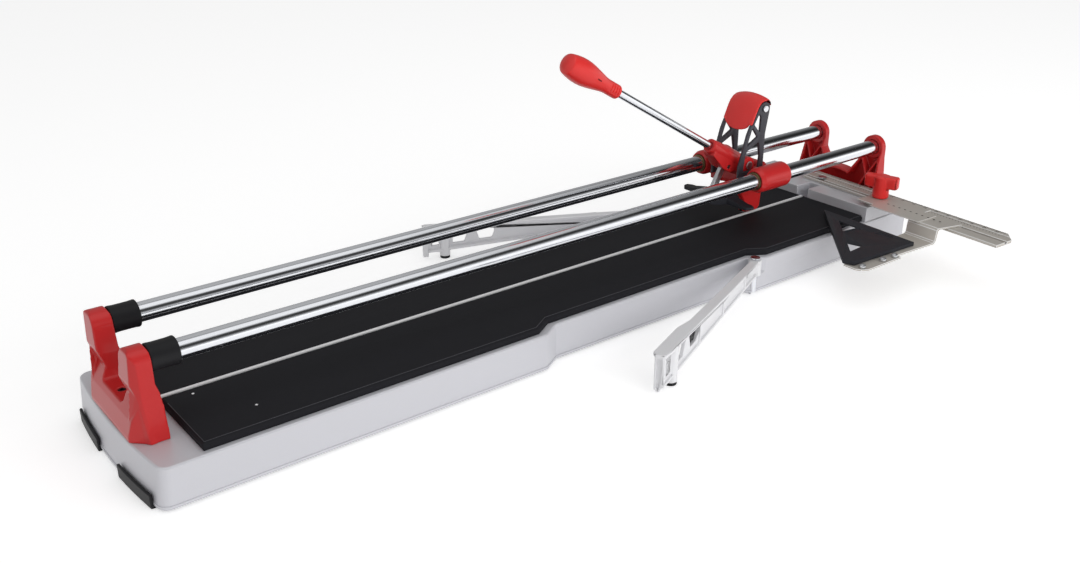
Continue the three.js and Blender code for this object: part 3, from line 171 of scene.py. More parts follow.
# ------------ finishes
@dataclass(frozen=True)
class Finish:
    """A surface with grain in its colour, its gloss and its relief.

    Sizes are in millimetres. Relief is the height of the grain, stretch draws the pattern out
    along X, Y and Z, and cloud is the width of the broad patches in tone and gloss. The grain of
    plating, grinding, enamel, plastic and rubber is too fine to show, so it is drawn coarser.
    """

    name: str
    slot: str
    colour: str
    shade: str
    metallic: float = 0.0
    roughness: float = 0.4
    gloss_spread: float = 0.08
    pattern: Grain = Grain.SAND
    grain: float = 0.8
    relief: float = 0.02
    stretch: Triple = (1.0, 1.0, 1.0)
    cloud: float = 60.0
    mottle: float = 0.35
    coat: float = 0.0
    coat_roughness: float = 0.08
    specular: float = 0.5

    def build(self) -> Material:
        """Makes the material, once.

        Returns:
            The material of this name.
        """
        known = bpy.data.materials.get(self.name)
        if known:
            return known
        material = bpy.data.materials.new(self.name)
        tree = blank_tree(material)
        place = add_node(tree, "ShaderNodeTexCoord", {}).outputs["Object"]
        drawn = {"Scale": [1 / s for s in self.stretch], "Vector": place}
        at = add_node(tree, "ShaderNodeMapping", drawn).outputs["Vector"]
        kind, settings = self.pattern.value
        fine = {**settings, "Scale": 1 / (self.grain * MM), "Vector": at}
        grain = add_node(tree, kind, fine).outputs[0]
        broad = {"Scale": 1 / (self.cloud * MM), "Detail": 2.0, "Vector": at}
        cloud = add_node(tree, "ShaderNodeTexNoise", broad).outputs[0]
        both = add_node(tree, "ShaderNodeMix", {0: 0.5, 2: grain, 3: cloud}).outputs[0]
        spread = {"operation": "MULTIPLY_ADD", 0: both, 1: self.mottle, 2: 0.5 - self.mottle / 2}
        share = add_node(tree, "ShaderNodeMath", spread).outputs[0]
        tones = {"data_type": "RGBA", 0: share, 6: linear(self.shade), 7: linear(self.colour)}
        low, high = self.roughness - self.gloss_spread, self.roughness + self.gloss_spread
        gloss = add_node(tree, "ShaderNodeMapRange", {0: cloud, 3: low, 4: high}).outputs[0]
        relief = {"Strength": 1.0, "Distance": self.relief * MM, "Height": grain}
        surface = {
            "Base Color": add_node(tree, "ShaderNodeMix", tones).outputs[2],
            "Roughness": gloss,
            "Normal": add_node(tree, "ShaderNodeBump", relief).outputs[0],
            "Metallic": self.metallic,
            "Coat Weight": self.coat,
            "Coat Roughness": self.coat_roughness,
        }
        if not self.metallic:
            surface["Specular IOR Level"] = self.specular
        shader = add_node(tree, "ShaderNodeBsdfPrincipled", surface)
        add_node(tree, "ShaderNodeOutputMaterial", {"Surface": shader.outputs[0]})
        return material


# Pressure-cast aluminium under a clear grey lacquer: a soft sheen with a fine sandy sparkle.
CAST_ALUMINIUM = Finish(
    "cast_aluminium_lacquered", "cast_aluminium", "#d6d6db", "#c3c3c9",
    metallic=0.25, roughness=0.45, grain=0.9, relief=0.03, coat=0.08,
)
# Raw die-cast aluminium of the arms: paler and livelier than the lacquered base.
DIE_CAST = Finish(
    "die_cast_aluminium", "bright_aluminium", "#f1f1f4", "#d6d6d8",
    metallic=0.15, roughness=0.36, grain=1.2, relief=0.04,
)
# Extruded aluminium of the fence, mill-finished along Y: long faint lines and a cool sheen.
MILL_ALUMINIUM = Finish(
    "mill_finished_aluminium", "bright_aluminium", "#d4d4d9", "#b8b8bc",
    metallic=0.2, roughness=0.3, grain=0.7, relief=0.015,
    stretch=(1.0, 60.0, 1.0), cloud=25.0, mottle=0.45,
)
# Bead-blasted and anodised scale bar and stop: warm grey with a silky grain along Y.
ANODISED_ALUMINIUM = Finish(
    "anodised_aluminium", "bright_aluminium", "#cdc8c1", "#b3ada4",
    metallic=0.35, roughness=0.38, grain=0.6, relief=0.015,
    stretch=(1.0, 25.0, 1.0), cloud=30.0, mottle=0.5,
)
# The breaker strip's drawn edge, scratched along X by tiles.
DRAWN_ALUMINIUM = Finish(
    "drawn_aluminium_strip", "bright_aluminium", "#f6f6f8", "#dededf",
    metallic=0.25, roughness=0.3, grain=0.6, relief=0.02, stretch=(60.0, 1.0, 1.0),
)
# Hard chrome on ground steel tubes and pins: a mirror with the faintest haze.
CHROME = Finish(
    "hard_chrome_plate", "chrome", "#eceef2", "#e2e4e9",
    metallic=1.0, roughness=0.13, gloss_spread=0.03, grain=0.8, relief=0.0,
    stretch=(40.0, 1.0, 1.0),
)
# Zinc-plated steel: grey, with crystals that are drawn over a millimetre wide to show.
ZINC = Finish(
    "zinc_plated_steel", "steel", "#d6d7d9", "#aeb0b3",
    metallic=1.0, roughness=0.32, pattern=Grain.CELLS, grain=1.4, relief=0.01,
)
# Black-oxide steel of the socket screw: blue-black, with a dull oily gloss.
BLACK_OXIDE = Finish(
    "black_oxide_steel", "steel", "#2b2c30", "#1c1d20",
    metallic=0.6, roughness=0.38, grain=0.6, relief=0.01,
)
# Sintered bronze, dark with oil: open pores between the grains.
SINTERED_BRONZE = Finish(
    "sintered_bronze", "bronze", "#8f7d59", "#5d5038",
    metallic=0.9, roughness=0.45, pattern=Grain.CELLS, grain=0.5, relief=0.03, mottle=0.6,
)
# Stoved red enamel on castings: glossy, with slight orange peel.
RED_ENAMEL = Finish(
    "red_stoved_enamel", "red_enamel", "#cc2929", "#b11f21",
    roughness=0.32, gloss_spread=0.05, grain=2.2, relief=0.03, coat=0.14, specular=0.3,
)
# Red polypropylene, moulded: a brighter red with a satin skin.
RED_PLASTIC = Finish(
    "red_moulded_polypropylene", "red_plastic", "#e8312e", "#d42826",
    roughness=0.34, gloss_spread=0.06, grain=1.0, relief=0.015, specular=0.45,
)
# Painted shade: the same plastic, dull and dark, for the hollow where the gate was cut off.
GATE_PAINTED_SHADE = Finish(
    "red_polypropylene_painted_shade", "red_plastic", "#7d1a1c", "#651315",
    roughness=0.7, grain=0.5, relief=0.02, specular=0.2,
)
# Moulded rubber: near black, with a fine leathery grain and a faint oily gloss.
RUBBER = Finish(
    "moulded_black_rubber", "black_rubber", "#1d1d20", "#131315",
    roughness=0.52, grain=0.9, relief=0.03, cloud=90.0, mottle=0.5, specular=0.25,
)
# Table sheet: calendered rubber, smoother than the moulded feet, with long faint rub marks.
RUBBER_SHEET = Finish(
    "calendered_rubber_sheet", "black_rubber", "#28282c", "#18181b",
    roughness=0.66, gloss_spread=0.07, grain=0.8, relief=0.02, stretch=(6.0, 1.0, 1.0),
    cloud=45.0, mottle=0.6, specular=0.1,
)
# Painted highlight: the table sheet's crest, lighter grey and a little shiny.
CREST_PAINTED_HIGHLIGHT = Finish(
    "rubber_crest_painted_highlight", "black_rubber", "#4b4b50", "#333337",
    roughness=0.5, grain=0.6, relief=0.01, stretch=(10.0, 1.0, 1.0), mottle=0.6, specular=0.2,
)
# Glass-filled nylon: dull black with fibres just under the skin.
BLACK_NYLON = Finish(
    "glass_filled_nylon", "black_plastic", "#303137", "#202125",
    roughness=0.5, grain=0.7, relief=0.03, stretch=(3.0, 1.0, 1.0), specular=0.16,
)
# Dark grey powder coat on pressed plates: an even pebbled skin.
GREY_POWDER = Finish(
    "dark_grey_powder_coat", "grey_enamel", "#43434b", "#323239",
    metallic=0.1, roughness=0.45, grain=0.9, relief=0.03,
)
# Ground tungsten carbide: steel grey, with the even sheen of fine grinding.
CARBIDE = Finish(
    "ground_carbide", "carbide", "#8a8c90", "#6d6f73",
    metallic=1.0, roughness=0.22, grain=0.3, relief=0.004,
)
# Sheared and sawn aluminium edges: bright cut metal, and partly a painted edge highlight.
CUT_EDGE_AND_PAINTED_GLINT = Finish(
    "cut_edge_and_painted_glint", "bright_aluminium", "#f4f4f4", "#e0e0df",
    metallic=0.2, roughness=0.35, grain=0.5, relief=0.01,
)
# Filled engraving: dull and near black in the aluminium, and painted shade in the clamp groove.
ENGRAVING_AND_GROOVE_SHADE = Finish(
    "engraving_fill_and_painted_shade", "bright_aluminium", "#2b2825", "#201d1b",
    roughness=0.7, grain=0.5, relief=0.01, specular=0.2,
)


# ------------ pieces
def shade(mesh: Mesh, angle: float = CREASE) -> None:
    """Smooths a mesh's faces, but for edges that turn by more than an angle in degrees."""
    mesh.shade_smooth()
    mesh.set_sharp_from_angle(angle=math.radians(angle))


def mesh_of(name: str, build: BMesh) -> Mesh:
    """Turns a bmesh to a shaded mesh.

    Args:
        name: The mesh's name.
        build: The bmesh, which is freed.

    Returns:
        The mesh.
    """
    mesh = bpy.data.meshes.new(name)
    build.to_mesh(mesh)
    build.free()
    shade(mesh)
    return mesh


def add_object(name: str, data: ID) -> Object:
    """Links a new object, which stands at the origin.

    Args:
        name: The object's name.
        data: Its mesh in the frame's own coordinates, or its type, lamp or camera.

    Returns:
        The object.
    """
    piece = bpy.data.objects.new(name, data)
    bpy.context.scene.collection.objects.link(piece)
    return piece


def baked(piece: Object, name: str) -> Mesh:
    """Turns an object with modifiers, or of type, to a plain mesh.

    Args:
        piece: The object, which is removed.
        name: The mesh's name.

    Returns:
        The mesh.
    """
    bpy.context.view_layer.update()
    ready = piece.evaluated_get(bpy.context.evaluated_depsgraph_get())
    mesh = bpy.data.meshes.new_from_object(ready)
    bpy.data.objects.remove(piece)
    mesh.name = name
    return mesh


def merged(node: str) -> BMesh:
    """Copies a CAD node's loose triangles and joins them at their corners.

    Args:
        node: The CAD node.

    Returns:
        The copy.
    """
    build = bmesh.new()
    build.from_mesh(frame["nodes"][node].data)
    bmesh.ops.remove_doubles(build, verts=build.verts, dist=WELD * MM)
    return build


def wear(piece: Object, finish: Finish) -> Object:
    """Gives a piece one finish all over.

    Args:
        piece: The object.
        finish: Its finish.

    Returns:
        The same object.
    """
    piece.data.materials.clear()
    piece.data.materials.append(finish.build())
    return piece


def fit(piece: Object, body: str, finish: Finish, *nodes: str) -> None:
    """Sets a finished piece on its body.

    Args:
        piece: The object.
        body: The CAD body that it rides on.
        finish: The piece's finish. It is not used.
        nodes: The CAD nodes that it stands for.
    """
    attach(piece, body)
    if nodes:
        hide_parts(*nodes)
    log.info("%s rides on %s", piece.name, body)


@dataclass(frozen=True)
class Copy:
    """A piece that is copied from the CAD node that it stands for.

    A name with {side} in it gives one piece on the left and one on the right. The piece rides on
    its sub-assembly's body, unless it names another.
    """

    node: str
    finish: Finish
    body: str = field(default="", kw_only=True)

    def build(self, body: str) -> None:
        """Builds the piece, or both of them.

        Args:
            body: The sub-assembly's body.
        """
        for side in SIDES if "{side}" in self.node else ("",):
            node = self.node.format(side=side)
            name = f"{node}_finished"
            fit(self.shape(node, name), (self.body or body).format(side=side), self.finish, node)

    def shape(self, node: str, name: str) -> Object:
        """Makes the piece, with its finish.

        Args:
            node: The CAD node.
            name: The piece's name.

        Returns:
            The piece.
        """
        raise NotImplementedError


@dataclass(frozen=True)
class Rounded(Copy):
    """A copy with its edges rounded, as its casting, moulding or pressing leaves them.

    The radius is in millimetres, and each edge gets some steps of faces. The edges may have a
    finish of their own.
    """

    radius: float
    steps: int = 2
    edge: Optional[Finish] = None

    def shape(self, node: str, name: str) -> Object:
        """Makes the piece, with a live bevel on its sharp edges.

        Args:
            node: The CAD node.
            name: The piece's name.

        Returns:
            The piece.
        """
        build = merged(node)
        bmesh.ops.dissolve_limit(
            build, angle_limit=math.radians(FLAT), verts=build.verts, edges=build.edges
        )
        piece = wear(add_object(name, mesh_of(node, build)), self.finish)
        bevel = piece.modifiers.new("rounded_edges", "BEVEL")
        bevel.width = self.radius * MM
        bevel.segments = self.steps
        bevel.limit_method = "ANGLE"
        bevel.angle_limit = math.radians(ROUNDED_FROM)
        bevel.use_clamp_overlap = False
        bevel.harden_normals = False
        bevel.miter_outer = "MITER_ARC"
        if self.edge:
            piece.data.materials.append(self.edge.build())
            bevel.material = 1
        return piece


@dataclass(frozen=True)
class Softened(Copy):
    """A copy under one soft skin, as a casting with generous radii has.

    The skin's grid is in millimetres. Each smoothing pass widens the radii, and the share of the
    skin's triangles that is given is kept. Edges that turn by more than the crease stay sharp.
    """

    grid: float
    passes: int
    share: float = 0.3
    smoothing: float = 0.5
    crease: float = 60.0

    def shape(self, node: str, name: str) -> Object:
        """Makes the piece.

        Args:
            node: The CAD node.
            name: The piece's name.

        Returns:
            The piece.
        """
        rough = add_object(f"{node}_rough", mesh_of(node, merged(node)))
        skin = rough.modifiers.new("skin", "REMESH")
        skin.mode = "VOXEL"
        skin.voxel_size = self.grid * MM
        soft = rough.modifiers.new("soft", "SMOOTH")
        soft.factor = self.smoothing
        soft.iterations = self.passes
        thin = rough.modifiers.new("thin", "DECIMATE")
        thin.ratio = self.share
        mesh = baked(rough, node)
        shade(mesh, self.crease)
        return wear(add_object(name, mesh), self.finish)


def turned(name: str, profile: Sequence[Point], axis: Axis, at: Triple, steps: int) -> Object:
    """Turns a profile about an axis.

    Args:
        name: The piece's name.
        profile: Radius and distance along the axis, in millimetres. It starts and ends on the
            axis, or closes on itself.
        axis: The axis.
        at: A point of the axis, in metres, from which distances along it are counted.
        steps: The number of sides.

    Returns:
        The piece.
    """
    direction = Vector(axis.value)
    across = direction.orthogonal().normalized()
    turns = [Matrix.Rotation(2 * math.pi * i / steps, 3, direction) for i in range(steps)]
    build = bmesh.new()
    rings = []
    for radius, along in profile:
        middle = Vector(at) + direction * (along * MM)
        if radius:
            out = across * (radius * MM)
            rings.append([build.verts.new(middle + turn @ out) for turn in turns])
        else:
            rings.append([build.verts.new(middle)] * steps)
    if profile[0][0]:
        rings.append(rings[0])
    for low, high in zip(rings, rings[1:]):
        for i, j in loop_pairs(steps):
            corners = list(dict.fromkeys([low[i], low[j], high[j], high[i]]))
            if len(corners) > 2:
                build.faces.new(corners)
    bmesh.ops.recalc_face_normals(build, faces=build.faces)
    return add_object(name, mesh_of(name, build))


def loop_pairs(count: int) -> list[tuple[int, int]]:
    """Pairs each number of a closed loop with the next one, and the last with the first."""
    return [(i, (i + 1) % count) for i in range(count)]


def arc(centre: Point, radius: float, start: float, end: float, steps: int = 6) -> list[Point]:
    """Gives points along an arc between two angles in degrees, both ends included."""
    angles = [math.radians(start + (end - start) * i / steps) for i in range(steps + 1)]
    return [(centre[0] + radius * math.cos(a), centre[1] + radius * math.sin(a)) for a in angles]


def barrel(node: str) -> tuple[float, float, Triple]:
    """Measures a round CAD node that lies along X.

    Args:
        node: The CAD node.

    Returns:
        Its radius and length in millimetres, and the middle of its front end in metres.
    """
    low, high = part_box(node)
    at = (low.x, (low.y + high.y) / 2, (low.z + high.z) / 2)
    return (high.z - low.z) / 2 / MM, (high.x - low.x) / MM, at


def joint_place(name: str) -> Vector:
    """Gives a CAD joint's place in metres."""
    return Vector(next(j for j in frame["joints"] if j["name"] == name)["pos_m"])


# ------------ geometry nodes
def grown(name: str, tree: NodeTree, inputs: dict[str, Any], seed: Optional[Mesh] = None) -> Object:
    """Runs a geometry tree and keeps its result as a plain shaded mesh.

    Args:
        name: The new piece's name.
        tree: The tree.
        inputs: The tree's inputs by name.
        seed: The mesh that the tree works on. It is empty if none is given.

    Returns:
        The piece.
    """
    piece = add_object(f"{name}_seed", seed or bpy.data.meshes.new(f"{name}_seed"))
    modifier = piece.modifiers.new("growth", "NODES")
    modifier.node_group = tree
    sockets = {s.name: s.identifier for s in tree.interface.items_tree if s.in_out == "INPUT"}
    for key, value in inputs.items():
        modifier[sockets[key]] = value
    piece.update_tag()
    mesh = baked(piece, name)
    shade(mesh)
    return add_object(name, mesh)


def new_tree(name: str, sockets: dict[str, str]) -> NodeTree:
    """Makes an empty geometry tree.

    Args:
        name: The tree's name.
        sockets: The type of each input after the geometry, by the input's name.

    Returns:
        The tree.
    """
    tree = bpy.data.node_groups.new(name, "GeometryNodeTree")
    tree.interface.new_socket("Geometry", in_out="INPUT", socket_type="NodeSocketGeometry")
    for socket, kind in sockets.items():
        tree.interface.new_socket(socket, in_out="INPUT", socket_type=f"NodeSocket{kind}")
    tree.interface.new_socket("Geometry", in_out="OUTPUT", socket_type="NodeSocketGeometry")
    return tree


def end_tree(tree: NodeTree, shape: NodeSocket, finish: Finish) -> None:
    """Ends a geometry tree: its instances are made real and get a finish.

    Args:
        tree: The tree.
        shape: The geometry that it has made.
        finish: The finish.
    """
    real = add_node(tree, "GeometryNodeRealizeInstances", {"Geometry": shape}).outputs[0]
    dress = {"Geometry": real, "Material": finish.build()}
    dressed = add_node(tree, "GeometryNodeSetMaterial", dress).outputs[0]
    add_node(tree, "NodeGroupOutput", {"Geometry": dressed})


def row_tree(mark: Mark, finish: Finish) -> NodeTree:
    """A tree that repeats one mark along a line.

    Args:
        mark: The shape that is repeated.
        finish: Its finish.

    Returns:
        The tree, with inputs Count, Start, Step, Size and Turn.
    """
    name = f"row_of_{mark.name.lower()}_{finish.name}"
    known = bpy.data.node_groups.get(name)
    if known:
        return known
    vectors = dict.fromkeys(("Start", "Step", "Size", "Turn"), "Vector")
    tree = new_tree(name, {"Count": "Int", **vectors})
    given = add_node(tree, "NodeGroupInput", {}).outputs
    path = {"mode": "OFFSET", "Start Location": given["Start"], "Offset": given["Step"]}
    line = add_node(tree, "GeometryNodeMeshLine", {**path, "Count": given["Count"]})
    kind, settings = mark.value
    row = {
        "Points": line.outputs["Mesh"],
        "Instance": add_node(tree, kind, settings).outputs["Mesh"],
        "Scale": given["Size"],
        "Rotation": given["Turn"],
    }
    end_tree(tree, add_node(tree, "GeometryNodeInstanceOnPoints", row).outputs[0], finish)
    return tree


def bead_tree(finish: Finish) -> NodeTree:
    """A tree that runs a bead with rounded corners along the object's edges.

    Args:
        finish: The bead's finish.

    Returns:
        The tree, with inputs Width, Height and Radius.
    """
    sizes = dict.fromkeys(("Width", "Height", "Radius"), "Float")
    tree = new_tree(f"bead_of_{finish.name}", sizes)
    given = add_node(tree, "NodeGroupInput", {}).outputs
    path = add_node(tree, "GeometryNodeMeshToCurve", {"Mesh": given["Geometry"]}).outputs[0]
    size = {"Width": given["Width"], "Height": given["Height"]}
    oblong = add_node(tree, "GeometryNodeCurvePrimitiveQuadrilateral", size).outputs[0]
    corners = {"mode": "POLY", "Count": 3, "Radius": given["Radius"], "Curve": oblong}
    soft = add_node(tree, "GeometryNodeFilletCurve", corners).outputs[0]
    sweep = {"Fill Caps": True, "Curve": path, "Profile Curve": soft}
    end_tree(tree, add_node(tree, "GeometryNodeCurveToMesh", sweep).outputs[0], finish)
    return tree


# ------------ sub-assemblies
@dataclass
class Assembly:
    """A sub-assembly: the pieces copied from its CAD nodes, and in its subclasses the others.

    Sizes are in millimetres, unless a docstring says otherwise.
    """

    body: str = "base"
    copies: tuple[Copy, ...] = ()

    def build(self) -> None:
        """Builds the copied pieces."""
        for copy in self.copies:
            copy.build(self.body)


@dataclass
class Base(Assembly):
    """The cast base with its bottom bead, rubber tables, breaker strip and feet."""

    copies: tuple[Copy, ...] = (
        Rounded("base_casting", CAST_ALUMINIUM, radius=2.2, steps=3),
        Rounded("breaker_strip", DRAWN_ALUMINIUM, radius=0.5),
        Rounded("table_pad_{side}", RUBBER_SHEET, radius=0.9),
        Rounded("front_foot_{side}", RUBBER, radius=1.2),
        Rounded("rear_foot_{side}", RUBBER, radius=0.6),
    )
    bead_width: float = 1.6
    bead_height: float = 3.2
    bead_level: float = 3.4
    # The crest bead is a painted highlight along the tables' edges.
    crest_width: float = 1.0
    crest_height: float = 0.5
    crest_depth: float = 0.4
    crest_from: float = 30.0
    corner: float = 0.2
    stud_count: int = 2
    stud_size: Triple = (3.2, 3.2, 0.9)
    first_stud: Point = (31.0, -15.0)
    stud_step: Point = (42.5, -62.7)

    def build(self) -> None:
        """Builds every piece of the base."""
        super().build()
        self.bead()
        for side in SIDES:
            self.crest(side)
        self.table_studs()

    def outline(self, node: str, level: float) -> list[Vector]:
        """A node's outer edge at one height.

        Args:
            node: The CAD node.
            level: The height in millimetres.

        Returns:
            The points of the widest loop, in order.
        """
        build = merged(node)
        cut = bmesh.ops.bisect_plane(
            build,
            geom=build.verts[:] + build.edges[:] + build.faces[:],
            plane_co=(0, 0, level * MM),
            plane_no=Axis.Z.value,
            clear_outer=True,
            clear_inner=True,
        )["geom_cut"]
        loops = loops_of(e for e in cut if isinstance(e, BMEdge))
        loop = max(loops, key=lambda vs: max(v.co.y for v in vs) - min(v.co.y for v in vs))
        points = [v.co.copy() for v in loop]
        build.free()
        return points

    def bead(self) -> None:
        """Runs the casting's bottom bead round its outer edge, inside the CAD box."""
        points = self.outline("base_casting", self.bead_level)
        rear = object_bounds()[1].x - self.bead_width / 2 * MM
        for point in points:
            point.x = min(point.x, rear)
        pairs = loop_pairs(len(points))
        size = (self.bead_width, self.bead_height)
        self.run_bead("base_bottom_bead", points, pairs, size, CAST_ALUMINIUM)

    def crest(self, side: str) -> None:
        """Lays a painted highlight bead on a table's outer edges, not beside the breaker strip.

        Args:
            side: left or right.
        """
        node = f"table_pad_{side}"
        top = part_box(node)[1].z
        points = self.outline(node, top / MM - self.crest_depth)
        for point in points:
            point.z = top
        near = self.crest_from * MM
        pairs = [
            (i, j) for i, j in loop_pairs(len(points))
            if max(abs(points[i].y), abs(points[j].y)) > near
        ]
        size = (self.crest_width, self.crest_height)
        self.run_bead(f"table_crest_{side}", points, pairs, size, CREST_PAINTED_HIGHLIGHT)

    def run_bead(
        self,
        name: str,
        points: list[Vector],
        pairs: list[tuple[int, int]],
        size: Point,
        finish: Finish,
    ) -> None:
        """Runs a bead along a path.

        Args:
            name: The bead's name.
            points: The path's points, in metres.
            pairs: The numbers of the points that the path joins.
            size: The bead's width and height.
            finish: Its finish.
        """
        path = bpy.data.meshes.new(f"{name}_path")
        path.from_pydata(points, pairs, [])
        width, height = size
        sizes = {"Width": width * MM, "Height": height * MM, "Radius": self.corner * MM}
        fit(grown(name, bead_tree(finish), sizes, path), self.body, finish)

    def table_studs(self) -> None:
        """Sets the small bright studs that pin the right table near the operator's end."""
        low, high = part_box("table_pad_right")
        first_x, first_y = self.first_stud
        step_x, step_y = self.stud_step
        inputs = {
            "Count": self.stud_count,
            "Start": (low.x + first_x * MM, first_y * MM, high.z),
            "Step": (step_x * MM, step_y * MM, 0.0),
            "Size": tuple(v * MM for v in self.stud_size),
        }
        studs = grown("table_studs", row_tree(Mark.DOME, DRAWN_ALUMINIUM), inputs)
        fit(studs, self.body, DRAWN_ALUMINIUM)


def loops_of(edges: Iterable[BMEdge]) -> list[list[BMVert]]:
    """Sorts cut edges into closed loops.

    Args:
        edges: The edges of a plane's cut.

    Returns:
        The vertices of each loop, in order.
    """
    left = dict.fromkeys(edges)
    loops = []
    while left:
        edge = next(iter(left))
        del left[edge]
        loop = list(edge.verts)
        while True:
            following = next((e for e in loop[-1].link_edges if e in left), None)
            if following is None:
                break
            del left[following]
            loop.append(following.other_vert(loop[-1]))
        if loop[0] is loop[-1]:
            loop.pop()
        loops.append(loop)
    return loops


@dataclass
class Rails(Assembly):
    """The two chromed rails, their rubber bumpers and the brackets that hold them.

    The span of a bumper's waist is given in shares of its length.
    """

    copies: tuple[Copy, ...] = (
        Softened("front_bracket", RED_ENAMEL, grid=0.9, passes=6),
        Rounded("rear_bracket", RED_ENAMEL, radius=1.2),
        Rounded("front_bolt_{side}", ZINC, radius=0.4),
        Rounded("rear_bolt_{side}", ZINC, radius=0.4),
    )
    wall: float = 2.5
    chamfer: float = 0.8
    rings: int = 24
    rail_sides: int = 96
    bumper_lip: float = 1.6
    bumper_waist: float = 0.5
    waist_span: Point = (0.25, 0.75)
    bumper_room: float = 0.05
    bumper_sides: int = 72
    screw_place: Triple = (-573.0, 0.0, 74.4)
    screw_radius: float = 4.1
    screw_height: float = 3.0
    screw_chamfer: float = 0.5
    screw_sides: int = 32
    socket_radius: float = 2.1
    socket_depth: float = 1.8

    def build(self) -> None:
        """Builds every piece of the rails."""
        super().build()
        self.screw()
        for side in SIDES:
            self.rail(side)
            self.bumper(side)

    def screw(self) -> None:
        """Turns the socket screw sunk in the front bracket's saddle."""
        r, h, c = self.screw_radius, self.screw_height, self.screw_chamfer
        floor = h - self.socket_depth
        profile = [(0, 0), (r, 0), (r, h - c), (r - c, h)]
        profile += [(self.socket_radius, h), (self.socket_radius, floor), (0, floor)]
        x, y, z = (v * MM for v in self.screw_place)
        screw = turned("saddle_screw", profile, Axis.Z, (x, y, z), self.screw_sides)
        fit(wear(screw, BLACK_OXIDE), self.body, BLACK_OXIDE)

    def rail(self, side: str) -> None:
        """Turns one rail from tube, with chamfered ends.

        Args:
            side: left or right.
        """
        radius, length, at = barrel(f"rail_{side}")
        bore = radius - self.wall
        c = self.chamfer
        rings = [length * i / self.rings for i in range(1, self.rings)]
        profile = [(bore, 0), (radius - c, 0), (radius, c), *((radius, x) for x in rings)]
        profile += [(radius, length - c), (radius - c, length), (bore, length)]
        profile += [(bore, x) for x in reversed(rings)]
        rail = turned(f"rail_tube_{side}", profile, Axis.X, at, self.rail_sides)
        fit(wear(rail, CHROME), self.body, CHROME, f"rail_{side}")

    def bumper(self, side: str) -> None:
        """Turns one rubber bumper with rolled lips and a faint waist.

        Args:
            side: left or right.
        """
        radius, length, at = barrel(f"rail_bumper_{side}")
        bore = barrel(f"rail_{side}")[0] + self.bumper_room
        lip, waist = self.bumper_lip, radius - self.bumper_waist
        profile = [
            (bore, 0),
            *arc((radius - lip, lip), lip, -90, 0),
            *((waist, length * share) for share in self.waist_span),
            *arc((radius - lip, length - lip), lip, 0, 90),
            (bore, length),
        ]
        bumper = turned(f"bumper_sleeve_{side}", profile, Axis.X, at, self.bumper_sides)
        fit(wear(bumper, RUBBER), self.body, RUBBER, f"rail_bumper_{side}")


@dataclass(frozen=True)
class Row:
    """A row of engraved marks along the scale bar's line, in millimetres.

    It runs at one u over a span of v, drop below its node's top, with a mark at each step. The
    size is each mark's extent along u and along v.
    """

    name: str
    u: float
    span: Point
    step: float
    size: Point
    drop: float = 0.0
    mark: Mark = Mark.BAR


@dataclass(frozen=True)
class Ruler:
    """The line of the scale bar: its pivot, its swing in degrees and how it is marked.

    A place on it is given by u, from the pivot line towards the operator, and by v, from the
    cutting line outwards along the bar. Both are in millimetres.
    """

    swing: float = -3.0
    pivot_joint: str = "bar_swivel"
    mark_height: float = 0.12

    def place(self, u: float, v: float, z: float) -> Vector:
        """A point of the bar.

        Args:
            u: Millimetres from the pivot line towards the operator.
            v: Millimetres from the cutting line outwards.
            z: The height in metres.

        Returns:
            The point in metres.
        """
        start = joint_place(self.pivot_joint)
        start.z = z
        turn = Matrix.Rotation(math.radians(self.swing), 3, "Z")
        return start + turn @ Vector((-u * MM, -v * MM, 0.0))

    def engrave(self, row: Row, node: str, body: str) -> None:
        """Fills a row of marks along the bar.

        Args:
            row: The row.
            node: The CAD node that it lies on.
            body: The body that it rides on.
        """
        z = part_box(node)[1].z - row.drop * MM
        start, end = (self.place(row.u, v, z) for v in row.span)
        count = round((row.span[1] - row.span[0]) / row.step) + 1
        inputs = {
            "Count": count,
            "Start": tuple(start),
            "Step": tuple((end - start) / max(count - 1, 1)),
            "Size": (row.size[0] * MM, row.size[1] * MM, self.mark_height * MM),
            "Turn": (0.0, 0.0, math.radians(self.swing)),
        }
        fit(grown(row.name, row_tree(row.mark, ENGRAVING_AND_GROOVE_SHADE), inputs), body, ENGRAVING_AND_GROOVE_SHADE)


